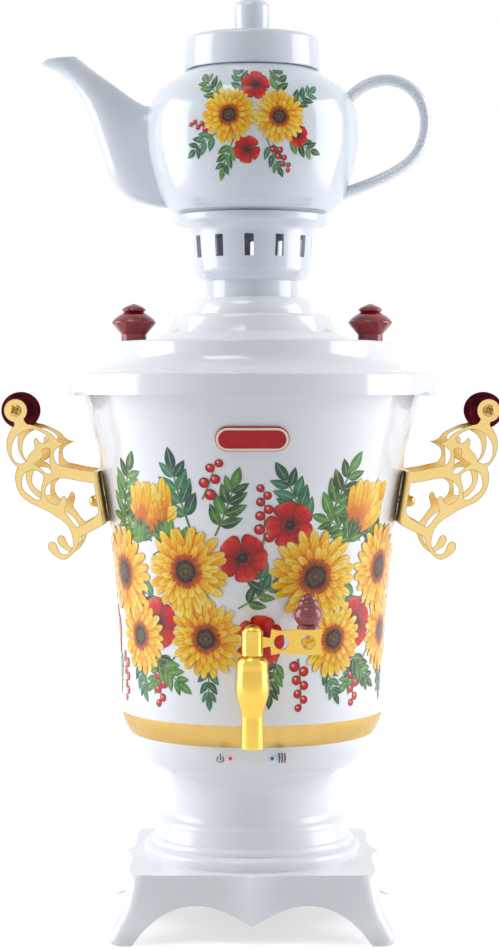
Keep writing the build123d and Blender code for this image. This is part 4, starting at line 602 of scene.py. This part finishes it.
# ======== drawing the flowers
class Painter:
    """Draws flowers, fruit and leaves on one skin."""

    def __init__(self, skin, seed):
        self.skin = skin
        self.chance = random.Random(seed)
        self.sheets = {}
        self.tag = 0
        self.level = 0

    def lay(self, colour, rows):
        """Lays one shape on the present level; its number goes into the whole part of u."""
        self.tag += 1
        lift = (PRINT_LOW + LEVEL_STEP * self.level + SHAPE_STEP * (self.tag % 5)) * MM
        tagged = [[(spot, (self.tag + 0.02 + 0.96 * u, v)) for spot, (u, v) in row] for row in rows]
        self.sheets.setdefault(colour, Sheet()).patch(self.skin, tagged, lift)

    def blade(self, colour, root, heading, length, width, bend, outline, steps=8, across=4):
        """Petal or leaf: a bent middle line with half widths from an outline."""
        forward = (math.cos(heading), math.sin(heading))
        side = (-forward[1], forward[0])
        rows = []
        for step in range(steps + 1):
            v = 1 - (1 - step / steps) ** 1.4
            row = []
            for column in range(across + 1):
                u = column / across
                offset = bend * length * v * v + width * max(outline(v), 0.02) * (u - 0.5)
                spot = (root[0] + forward[0] * length * v + side[0] * offset,
                        root[1] + forward[1] * length * v + side[1] * offset)
                row.append((spot, (u, v)))
            rows.append(row)
        self.lay(colour, rows)

    def disc(self, colour, middle, wide, tall, turn=0.0, steps=8):
        """Oval whose u and v run across it."""
        rows = []
        for line in disc_grid(steps):
            row = []
            for x, y in line:
                across = x * wide * math.cos(turn) - y * tall * math.sin(turn)
                up = x * wide * math.sin(turn) + y * tall * math.cos(turn)
                row.append(((middle[0] + across, middle[1] + up), ((x + 1) / 2, (y + 1) / 2)))
            rows.append(row)
        self.lay(colour, rows)

    def stem(self, points, width):
        """Thin ribbon through points, narrower at its end."""
        rows = []
        for index, point in enumerate(points):
            along = line_way(points, index, False)
            v = index / (len(points) - 1)
            half = width * (1 - 0.6 * v) / 2
            left = (point[0] - half * math.sin(along), point[1] + half * math.cos(along))
            right = (point[0] + half * math.sin(along), point[1] - half * math.cos(along))
            rows.append([(right, (0, v)), (left, (1, v))])
        self.lay("stem", rows)

    def ring(self, colour, middle, inner, reach, count, girth, turn, wobble=0.06):
        """Ring of petals round a middle, from an inner radius out to a reach."""
        for index in range(count):
            heading = turn + 2 * math.pi * index / count + self.chance.uniform(-wobble, wobble)
            root = polar(middle, inner, heading)
            length = reach * self.chance.uniform(0.94, 1.05) - inner
            width = girth * self.chance.uniform(0.85, 1.1)
            bend = self.chance.uniform(-0.1, 0.1)
            self.blade(colour, root, heading, length, width, bend, petal_outline)
        self.level += 1

    def gerbera(self, middle, radius, turn=0.0):
        """Large golden flower: three rows of round-tipped petals, a collar of florets, a small dark eye."""
        rings = ((22, 1.0, 0.25, 0.3), (20, 0.82, 0.23, 0.22), (16, 0.6, 0.2, 0.16))
        for count, reach, girth, inner in rings:
            self.ring("petal", middle, inner * radius, reach * radius, count, girth * radius, turn + inner)
        self.ring("floret", middle, 0.16 * radius, 0.4 * radius, 30, 0.09 * radius, turn)
        self.disc("eye", middle, 0.25 * radius, 0.24 * radius, turn, 10)
        self.level += 1

    def bud(self, root, heading, length):
        """Half-open flower seen from its side: a fan of petals out of a green cup."""
        for spread, count, reach in ((0.62, 7, 0.95), (0.42, 5, 1.0)):
            for index in range(count):
                turn = heading + spread * (2 * index / (count - 1) - 1)
                long = reach * length * self.chance.uniform(0.93, 1.04)
                bend = self.chance.uniform(-0.1, 0.1)
                self.blade("petal", root, turn, long, 0.24 * length, bend, petal_outline)
            self.level += 1
        for index in range(5):
            turn = heading + 0.75 * (index / 2 - 1)
            start = polar(root, -0.12 * length, heading)
            self.blade("leaf", start, turn, 0.42 * length, 0.17 * length, 0.0, leaf_outline, 6)
        self.level += 1

    def poppy(self, middle, radius, turn=0.0):
        """Red flower with five broad petals and a black eye."""
        for index in range(5):
            heading = turn + 2 * math.pi * index / 5 + self.chance.uniform(-0.1, 0.1)
            root = polar(middle, 0.1 * radius, heading)
            self.blade("poppy", root, heading, 0.9 * radius, 1.05 * radius, 0.0, broad_outline, 9, 8)
        self.level += 1
        for index in range(16):
            heading = 2 * math.pi * index / 16 + self.chance.uniform(-0.1, 0.1)
            reach = self.chance.uniform(0.3, 0.4) * radius
            spot = polar(middle, reach, heading)
            self.disc("soot", spot, 0.035 * radius, 0.035 * radius, 0.0, 3)
        self.disc("soot", middle, 0.2 * radius, 0.2 * radius, 0.0, 6)
        self.level += 1

    def sprig(self, root, heading, length, pairs, bend=0.0, leaf="leaf"):
        """Feathered leaf: leaflets in pairs along a bent stem."""
        points = bent_line(root, heading, length, bend, 2 * pairs + 2)
        self.stem(points, 0.035 * length)
        for pair in range(pairs):
            share = (pair + 1) / (pairs + 0.6)
            spot = points[min(int(share * (2 * pairs + 2)), len(points) - 2)]
            size = length * 0.4 * (1.08 - 0.55 * abs(share - 0.35))
            for side in (-1, 1):
                turn = heading + 2 * bend * share + side * self.chance.uniform(0.75, 0.95)
                self.blade(leaf, spot, turn, size, 0.46 * size, -0.12 * side, leaf_outline)
        turn = heading + 2 * bend
        self.blade(leaf, points[-2], turn, 0.36 * length, 0.17 * length, 0.0, leaf_outline)
        self.level += 1

    def currants(self, root, heading, length, size, bend=0.0):
        """Hanging string of round berries."""
        count = max(int(length / size / 0.8), 4)
        points = bent_line(root, heading, length, bend, count)
        self.stem(points, 0.22 * size)
        self.level += 1
        for index, point in enumerate(points[1:]):
            side = 1 if index % 2 else -1
            reach = 0.62 * size * (1 - 0.5 * index / count)
            spot = (point[0] - side * reach * math.sin(heading), point[1] + side * reach * math.cos(heading))
            grain = size * (0.66 - 0.22 * index / count)
            self.disc("berry", spot, grain, grain, self.chance.uniform(-0.3, 0.3), 6)
        self.level += 1

    def finish(self, prefix, body, slot, materials):
        """Builds one piece for each colour that was used."""
        for colour, sheet in self.sheets.items():
            sheet.build(f"{prefix}_{colour}", materials[colour], body, slot)


def line_way(points, index, looped):
    """Heading of a line of points at one of them."""
    x, y = points[index]
    total = len(points)
    before = points[index - 1] if looped or index else (x, y)
    after = points[(index + 1) % total] if looped or index + 1 < total else (x, y)
    return math.atan2(after[1] - before[1], after[0] - before[0])


def polar(middle, reach, heading):
    """Spot at a distance from a middle."""
    return (middle[0] + reach * math.cos(heading), middle[1] + reach * math.sin(heading))


def bent_line(root, heading, length, bend, steps):
    """Points of a line that leaves a root straight and bends more and more."""
    points = []
    for step in range(steps + 1):
        share = step / steps
        offset = bend * length * share * share
        points.append((root[0] + length * share * math.cos(heading) - offset * math.sin(heading),
                       root[1] + length * share * math.sin(heading) + offset * math.cos(heading)))
    return points


def petal_outline(v):
    """Petal: narrow at its root, widest past the middle, with a round tip."""
    return (1 - 0.6 * (1 - v) ** 2.2) * (1 - v ** 5) ** 0.5


def broad_outline(v):
    """Fan-shaped petal."""
    return (0.12 + 0.88 * math.sin(0.5 * math.pi * min(v * 1.15, 1))) * (1 - v ** 7) ** 0.45


def leaf_outline(v):
    """Leaf with a pointed end."""
    return math.sin(math.pi * v ** 0.8) ** 0.85 if 0 < v < 1 else 0.0


# ======== colours of the print
def print_base(name):
    """Graph with the drawing's u and v; the whole part of u is the shape's number."""
    graph = Graph(name)
    drawing = graph.add("ShaderNodeUVMap", uv_map="drawing").outputs[0]
    parts = graph.add("ShaderNodeSeparateXYZ", {0: drawing})
    number = graph.math("FLOOR", parts.outputs[0])
    across = graph.math("FRACT", parts.outputs[0])
    own = graph.add("ShaderNodeTexWhiteNoise", {"W": number}, noise_dimensions="1D").outputs["Value"]
    return graph, across, parts.outputs[1], own, drawing


def spot_reach(graph, across, along):
    """A drawing's spot as a vector, and its distance from the middle."""
    spot = graph.add("ShaderNodeCombineXYZ", {0: across, 1: along}).outputs[0]
    return spot, graph.vector("DISTANCE", spot, (0.5, 0.5, 0.0), "Value")


def edge_share(graph, across):
    """0 on the middle line of a shape, 0.5 at its edges."""
    return graph.math("ABSOLUTE", graph.math("SUBTRACT", across, 0.5))


def print_gloss(graph, colour):
    """The print's gloss, softer than that of the white ground."""
    graph.surface(Base_Color=colour, Roughness=0.22, Specular_IOR_Level=0.3, Coat_Weight=0.15,
                  Coat_Roughness=0.06)
    return graph.material


def petal_paint(name, stops, streak, vein):
    """Colour along a petal, broken by streaks and shaded to its edges."""
    graph, across, along, own, drawing = print_base(name)
    wash = graph.noise(graph.place(), 150.0, 3.0, 0.6)
    stretched = graph.add("ShaderNodeMapping", {"Vector": drawing, "Scale": (9.0, 1.3, 1.0)}).outputs[0]
    streaks = graph.noise(stretched, 1.0, 3.0, 0.6, 0.3)
    shift = graph.math("MULTIPLY", graph.math("SUBTRACT", wash, 0.5), 0.35)
    position = graph.math("ADD", along, graph.math("ADD", shift, graph.span(own, 0, 1, -0.16, 0.1)))
    base = graph.ramp(position, stops)
    darker = graph.mix(graph.span(streaks, 0.42, 0.7, 0.0, streak), base, vein)
    edge = edge_share(graph, across)
    rim = graph.mix(graph.span(edge, 0.3, 0.5, 0.0, 0.8), darker, vein)
    ridge = graph.mix(graph.span(edge, 0.0, 0.09, 0.35, 0.0), rim, vein)
    return print_gloss(graph, ridge)


def leaf_paint(name, deep, fresh, rib):
    """Watercolour green with a pale midrib and side veins."""
    graph, across, along, own, drawing = print_base(name)
    wash = graph.noise(graph.place(), 120.0, 4.0, 0.65)
    shade = graph.math("ADD", wash, graph.span(own, 0, 1, -0.18, 0.18))
    tint = graph.ramp(shade, [(0.34, deep), (0.64, fresh)])
    edge = edge_share(graph, across)
    shaded = graph.mix(graph.span(edge, 0.2, 0.5, 0.0, 0.45), tint, deep)
    slant = graph.math("ADD", graph.math("MULTIPLY", along, 9.0), graph.math("MULTIPLY", edge, -7.0))
    vein = graph.math("PINGPONG", slant, 0.5)
    veined = graph.mix(graph.span(vein, 0.0, 0.13, 0.4, 0.0), shaded, rib)
    return print_gloss(graph, graph.mix(graph.span(edge, 0.015, 0.05, 0.75, 0.0), veined, rib))


def round_paint(name, stops, light_at, light, light_size):
    """Rounded shape: colour from its middle to its rim, with one highlight."""
    graph, across, along, own, drawing = print_base(name)
    wash = graph.noise(graph.place(), 260.0, 3.0, 0.6)
    spot, reach = spot_reach(graph, across, along)
    away = graph.vector("DISTANCE", spot, light_at, "Value")
    base = graph.ramp(graph.math("ADD", reach, graph.span(wash, 0.2, 0.8, -0.07, 0.07)), stops)
    lit = graph.mix(graph.span(away, 0.25 * light_size, light_size, 0.85, 0.0), base, light)
    return print_gloss(graph, lit)


def eye_paint(name):
    """Dark seeded eye: rings of brown with pale grains."""
    graph, across, along, own, drawing = print_base(name)
    reach = spot_reach(graph, across, along)[1]
    wash = graph.noise(graph.place(), 420.0, 4.0, 0.7)
    ring = graph.math("ADD", reach, graph.span(wash, 0.2, 0.8, -0.08, 0.08))
    base = graph.ramp(ring, [(0.0, srgb(112, 96, 44)), (0.14, srgb(66, 50, 28)), (0.27, srgb(92, 64, 44)),
                             (0.37, srgb(52, 32, 24)), (0.5, srgb(34, 18, 14))])
    grains = graph.add("ShaderNodeTexVoronoi", {"Vector": graph.place(), "Scale": 900.0}).outputs["Distance"]
    pale = graph.mix(graph.span(grains, 0.12, 0.34, 0.55, 0.0), base, srgb(150, 118, 84))
    return print_gloss(graph, pale)


def print_materials():
    """The colours of the print."""
    gold = [(0.0, srgb(110, 36, 2)), (0.3, srgb(222, 108, 4)), (0.55, srgb(250, 178, 12)),
            (0.8, srgb(255, 222, 56)), (1.0, srgb(255, 240, 140))]
    red = [(0.0, srgb(60, 4, 6)), (0.3, srgb(178, 12, 14)), (0.75, srgb(226, 30, 22)),
           (1.0, srgb(244, 88, 60))]
    berry = [(0.0, srgb(228, 44, 40)), (0.32, srgb(198, 18, 24)), (0.5, srgb(120, 6, 14))]
    soot = [(0.0, srgb(48, 34, 30)), (0.5, srgb(22, 14, 12))]
    floret = [(0.0, srgb(86, 34, 10)), (1.0, srgb(206, 96, 12))]
    return {
        "petal": petal_paint("print_petal", gold, 0.65, srgb(196, 104, 6)),
        "floret": petal_paint("print_floret", floret, 0.5, srgb(120, 44, 8)),
        "poppy": petal_paint("print_poppy", red, 0.55, srgb(132, 8, 12)),
        "leaf": leaf_paint("print_leaf", srgb(12, 58, 36), srgb(92, 148, 66), srgb(176, 204, 134)),
        "frond": leaf_paint("print_frond", srgb(16, 66, 58), srgb(72, 136, 96), srgb(160, 198, 156)),
        "stem": leaf_paint("print_stem", srgb(62, 98, 46), srgb(116, 140, 70), srgb(150, 168, 96)),
        "berry": round_paint("print_berry", berry, (0.36, 0.66, 0.0), srgb(255, 196, 184), 0.2),
        "eye": eye_paint("print_eye"),
        "soot": round_paint("print_soot", soot, (0.4, 0.6, 0.0), srgb(90, 74, 66), 0.22),
    }


def paint_tank(materials):
    """A garland right round the tank."""
    skin = tank_skin()
    painter = Painter(skin, SEED)
    repeat = 2 * math.pi * skin.girth / MM / GARLAND_REPEATS
    for index in range(GARLAND_REPEATS):
        painter.level = 0
        garland_unit(painter, index * repeat, index % 2 == 0)
    painter.finish("tank_print", "base", "white_enamel", materials)


def garland_unit(painter, at, full):
    """One repeat of the garland: two bunches of large flowers; only a full one has its tall middle."""
    for x, y, heading, length, pairs, bend, leaf in GARLAND_SPRIGS:
        if full or abs(x) > STRAP_HALF or y < STRAP_LOW:
            painter.sprig((at + x, y), heading, length, pairs, bend, leaf)
    painter.level -= len(GARLAND_SPRIGS) // 2   # keeps the print low
    for x, y, heading, length, bend in ((-57, 158, -1.75, 27, 0.1), (27, 158, -1.4, 27, -0.1)):
        painter.currants((at + x, y), heading, length, 4.6, bend)
    painter.bud((at - 50, 226), 2.0, 31)
    painter.bud((at + 58, 226), 1.0, 31)
    painter.poppy((at - 60, 176), 14.5, 0.4)
    painter.poppy((at + 4, 168), 14.5, 0.2)
    if full:
        painter.currants((at + 6, 222), 1.5, 30, 4.6, 0.08)
        painter.currants((at - 26, 246), 1.1, 22, 4.6, 0.1)
        painter.poppy((at - 5, 214), 13.5, 1.1)
        painter.poppy((at + 20, 232), 13.0, 0.7)
    painter.gerbera((at - 27, 169), 22.5, 0.1)
    painter.gerbera((at + 50, 168), 21.5, 0.3)
    painter.gerbera((at - 38, 206), 25.5, 0.5)
    painter.gerbera((at + 36, 203), 26.5, 0.2)


def paint_teapot(materials):
    """A posy on the front of the teapot and one on its back."""
    low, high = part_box("teapot_body")
    skin = Skin("teapot_body", low.z + SKIN_MARGIN, high.z - SKIN_MARGIN, window=0.4)
    painter = Painter(skin, SEED + 1)
    half = math.pi * skin.girth / MM
    for at in (0.0, half):
        painter.level = 0
        for x, y, heading, length, pairs, leaf in POSY_SPRIGS:
            painter.sprig((at + x, y), heading, length, pairs, 0.1, leaf)
        painter.currants((at + 12, 441), -1.0, 17, 2.7, 0.1)
        painter.currants((at - 22, 450), 3.0, 14, 2.6, -0.1)
        painter.poppy((at + 2, 474), 8.6, 0.2)
        painter.poppy((at - 3, 438), 7.6, 0.9)
        painter.poppy((at + 26, 446), 6.2, 0.5)
        painter.gerbera((at - 13, 457), 15.6, 0.2)
        painter.gerbera((at + 15, 456), 15.0, 0.6)
    painter.finish("teapot_print", "teapot", "white_ceramic", materials)


# ======== badge rim and lamp signs
def flat_paint(name, colour, shade):
    """Printed line of one colour, a little uneven."""
    graph = Graph(name)
    wash = graph.noise(graph.place(), 500.0, 2.0)
    graph.surface(Base_Color=graph.mix(wash, colour, shade), Roughness=0.25, Coat_Weight=0.3)
    return graph.material


def ring_path(half_width, half_height, bend=14, run=12):
    """Points round a pill shape, close enough together to follow a curved skin."""
    straight = half_width - half_height
    points = []
    for side in (1, -1):
        for turn in np.linspace(-math.pi / 2, math.pi / 2, bend, endpoint=False):
            x, y = polar((straight, 0), half_height, turn)
            points.append((side * x, side * y))
        for share in np.linspace(1, -1, run, endpoint=False):
            points.append((side * straight * share, side * half_height))
    return points


def line_rows(points, width, looped):
    """Grid rows of an even line through points."""
    rows = []
    for index, point in enumerate(points):
        along = line_way(points, index, looped)
        nx, ny = -math.sin(along) * width / 2, math.cos(along) * width / 2
        rows.append([((point[0] - nx, point[1] - ny), (0, 0)), ((point[0] + nx, point[1] + ny), (1, 0))])
    return rows


def badge_rim():
    """Pale line just inside the blank badge's edge."""
    low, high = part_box("badge_plate")
    level = (low.z + high.z) / 2 / MM
    skin = tank_skin()
    half_width = (high.x - low.x) / 2 / MM - RIM_INSET
    half_height = (high.z - low.z) / 2 / MM - RIM_INSET
    points = [(skin.across(x, level + y), level + y) for x, y in ring_path(half_width, half_height)]
    sheet = Sheet()
    sheet.band(skin, line_rows(points, RIM_WIDTH, True), RIM_TOP, RIM_UNDER)
    cream = flat_paint("rim_cream", srgb(250, 240, 228), srgb(236, 220, 200))
    sheet.build("badge_rim", cream, "base", "red_plate")


def lamp_signs():
    """Power sign beside the red lamp, heat sign beside the blue one."""
    red_low, red_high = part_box("led_red")
    blue_low, blue_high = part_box("led_blue")
    level = (red_low.z + red_high.z) / 2
    skin = Skin("base_housing", level - 5 * MM, level + 5 * MM, window=0.5)
    ink = Sheet()

    def draw(points, width):
        """One line of a sign, drawn level on the swelling bowl."""
        rows = []
        for row in line_rows(points, width, False):
            rows.append([((skin.across(x, y), y), place) for (x, y), place in row])
        ink.patch(skin, rows, SIGN_LIFT)

    x, y = (red_low.x + red_high.x) / 2 / MM - SIGN_GAP, level / MM
    middle = y - POWER_DROP
    turns = np.linspace(POWER_OPEN, 2 * math.pi - POWER_OPEN, 26)
    draw([(x + POWER_R * math.sin(turn), middle + POWER_R * math.cos(turn)) for turn in turns], SIGN_LINE)
    draw([(x, middle), (x, y + POWER_TOP)], SIGN_LINE)
    x = (blue_low.x + blue_high.x) / 2 / MM + SIGN_GAP
    for shift in HEAT_SHIFTS:
        rises = np.linspace(-HEAT_REACH, HEAT_REACH, 20)
        draw([(x + shift + HEAT_SWAY * math.sin(HEAT_WAVE * rise), y + rise) for rise in rises], HEAT_LINE)
    black = flat_paint("sign_ink", srgb(54, 58, 70), srgb(78, 84, 98))
    ink.build("lamp_signs", black, "base", "white_plastic")


# ======== screws of the grips
def cross_depth(x, y, arm, half):
    """Depth of the recess at a spot of the head, from 0 outside to 1 in the middle of an arm."""
    across, along = min(abs(x), abs(y)), max(abs(x), abs(y))
    side = min(max((half - across) / (0.35 * half), 0), 1)
    end = min(max((arm - along) / (0.25 * arm), 0), 1)
    return min(side, end)


def screw_head(place, side):
    """Domed head with a cross recess, on the outer side of a cheek."""
    points = []
    for height_of in (dome_height, lambda x, y: 0.0):
        for x, y in sum(disc_grid(HEAD_STEPS), []):
            x, y = HEAD_R * x, HEAD_R * y
            across = x * math.cos(HEAD_TURN) - y * math.sin(HEAD_TURN)
            up = x * math.sin(HEAD_TURN) + y * math.cos(HEAD_TURN)
            points.append(Vector((place.x + across, place.y + side * height_of(x, y), place.z + up)))
    return points


def dome_height(x, y):
    """Height of the head over its seat."""
    share = min(math.hypot(x, y) / HEAD_R, 1)
    dome = HEAD_HEIGHT * (HEAD_RIM + (1 - HEAD_RIM) * math.sqrt(1 - share * share))
    return dome - CROSS_DEPTH * cross_depth(x, y, CROSS_ARM, CROSS_HALF)


def islands(mesh):
    """Groups of a mesh's points that hang together, as boxes in a fixed order."""
    shape = bmesh.new()
    shape.from_mesh(mesh)
    bmesh.ops.remove_doubles(shape, verts=shape.verts, dist=1e-6)
    left = set(shape.verts)
    boxes = []
    while left:
        group, front = [], [left.pop()]
        while front:
            spot = front.pop()
            group.append(spot.co.copy())
            for edge in spot.link_edges:
                other = edge.other_vert(spot)
                if other in left:
                    left.remove(other)
                    front.append(other)
        boxes.append([Vector([pick(spot[k] for spot in group) for k in range(3)]) for pick in (min, max)])
    shape.free()
    return sorted(boxes, key=lambda box: tuple(box[0]))


def grip_screws(material):
    """Heads with a cross recess in place of the plain grip screws."""
    points, faces = [], []
    for low, high in islands(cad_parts["handle_grip_screws"].data):
        side = 1 if low.y + high.y > 0 else -1
        outer = high.y if side > 0 else low.y
        place = Vector(((low.x + high.x) / 2, outer - side * HEAD_HEIGHT, (low.z + high.z) / 2))
        faces += lens_faces(len(points), HEAD_STEPS + 1, HEAD_STEPS + 1)
        points += screw_head(place, side)
    mesh = bpy.data.meshes.new("grip_screw_heads")
    mesh.from_pydata(points, [], faces)
    mesh.materials.append(material)
    tidy_normals(mesh)
    piece = as_piece(mesh, "grip_screw_heads", "base")
    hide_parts("handle_grip_screws")


# ======== studio
def softbox(name, place, target, size, power):
    """Soft rectangular lamp that looks at a target, and that the camera doesn't see."""
    data = bpy.data.lights.new(name, "AREA")
    data.shape = "RECTANGLE"
    data.size, data.size_y = size
    data.energy = power
    lamp = placed(name, data)
    lamp.location = place
    lamp.rotation_euler = (Vector(target) - Vector(place)).to_track_quat("-Z", "Y").to_euler()
    lamp.visible_camera = False


def backdrop_rays(nodes, links):
    """1 where the backdrop is seen: straight, in a reflection, or through glass."""
    rays = nodes.new("ShaderNodeLightPath")
    seen = rays.outputs["Is Camera Ray"]
    for kind in ("Is Glossy Ray", "Is Transmission Ray"):
        either = nodes.new("ShaderNodeMath")
        either.operation = "MAXIMUM"
        links.new(seen, either.inputs[0])
        links.new(rays.outputs[kind], either.inputs[1])
        seen = either.outputs[0]
    return seen


def make_world():
    """Pale light all round, much weaker from the camera's side, and white where the backdrop is seen."""
    world = bpy.data.worlds.new("studio")
    bpy.context.scene.world = world
    world.use_nodes = True
    nodes, links = world.node_tree.nodes, world.node_tree.links
    nodes.clear()
    way = nodes.new("ShaderNodeSeparateXYZ")
    links.new(nodes.new("ShaderNodeTexCoord").outputs["Generated"], way.inputs[0])
    depth = nodes.new("ShaderNodeMapRange")
    links.new(way.outputs[1], depth.inputs["Value"])
    spans = {"From Min": -0.9, "From Max": 0.3, "To Min": WORLD_FRONT, "To Max": WORLD_BACK}
    for key, value in spans.items():
        depth.inputs[key].default_value = value
    light = nodes.new("ShaderNodeBackground")
    light.inputs["Color"].default_value = (0.93, 0.96, 1.0, 1)
    links.new(depth.outputs[0], light.inputs["Strength"])
    seen = nodes.new("ShaderNodeBackground")
    seen.inputs["Color"].default_value = (1, 1, 1, 1)
    seen.inputs["Strength"].default_value = 1.0
    mixed = nodes.new("ShaderNodeMixShader")
    links.new(backdrop_rays(nodes, links), mixed.inputs[0])
    links.new(light.outputs[0], mixed.inputs[1])
    links.new(seen.outputs[0], mixed.inputs[2])
    links.new(mixed.outputs[0], nodes.new("ShaderNodeOutputWorld").inputs[0])


def make_floor():
    """Plain pale floor that keeps a soft shadow."""
    half = FLOOR_SIDE / 2
    mesh = bpy.data.meshes.new("floor")
    corners = [(-half, -half, 0), (half, -half, 0), (half, half, 0), (-half, half, 0)]
    mesh.from_pydata(corners, [], [(0, 1, 2, 3)])
    floor = placed("floor", mesh)
    graph = Graph("floor_paint")
    seen = backdrop_rays(graph.tree.nodes, graph.tree.links)
    grain = graph.noise(graph.place(), 30.0, 3.0)
    graph.surface(Base_Color=graph.mix(grain, (0.80, 0.80, 0.80, 1), (0.83, 0.83, 0.83, 1)), Roughness=0.9,
                  Specular_IOR_Level=0.1, Emission_Color=(1, 1, 1, 1),
                  Emission_Strength=graph.math("MULTIPLY", seen, FLOOR_GLOW))
    mesh.materials.append(graph.material)


def make_studio():
    """Camera, lamps, world and floor."""
    low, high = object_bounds()
    middle = (0, 0, (low.z + high.z) / 2)
    x, y, z = SIDE_LAMP_PLACE
    for side, name in ((-1, "left_softbox"), (1, "right_softbox")):
        softbox(name, (side * x, y, z), middle, SIDE_LAMP_SIZE, SIDE_LAMP_POWER)
    softbox("top_softbox", TOP_LAMP_PLACE, middle, TOP_LAMP_SIZE, TOP_LAMP_POWER)
    make_world()
    make_floor()
    data = bpy.data.cameras.new("photo_camera")
    data.lens = LENS
    data.sensor_width = SENSOR
    camera = placed("photo_camera", data)
    camera.location = CAMERA_PLACE
    camera.rotation_euler = (math.radians(90 - CAMERA_DIP), 0, 0)
    bpy.context.scene.camera = camera
    bpy.context.scene.view_settings.view_transform = "Standard"


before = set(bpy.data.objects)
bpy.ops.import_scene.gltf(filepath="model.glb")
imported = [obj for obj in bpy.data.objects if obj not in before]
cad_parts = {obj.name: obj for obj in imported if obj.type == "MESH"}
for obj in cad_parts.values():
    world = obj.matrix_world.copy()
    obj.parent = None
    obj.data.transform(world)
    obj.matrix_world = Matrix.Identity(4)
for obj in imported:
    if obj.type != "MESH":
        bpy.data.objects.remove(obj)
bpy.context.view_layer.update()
dress_nodes()
close_nicks()
colours = print_materials()
paint_tank(colours)
paint_teapot(colours)
badge_rim()
lamp_signs()
grip_screws(bpy.data.materials["fitting_gold"])
make_studio()
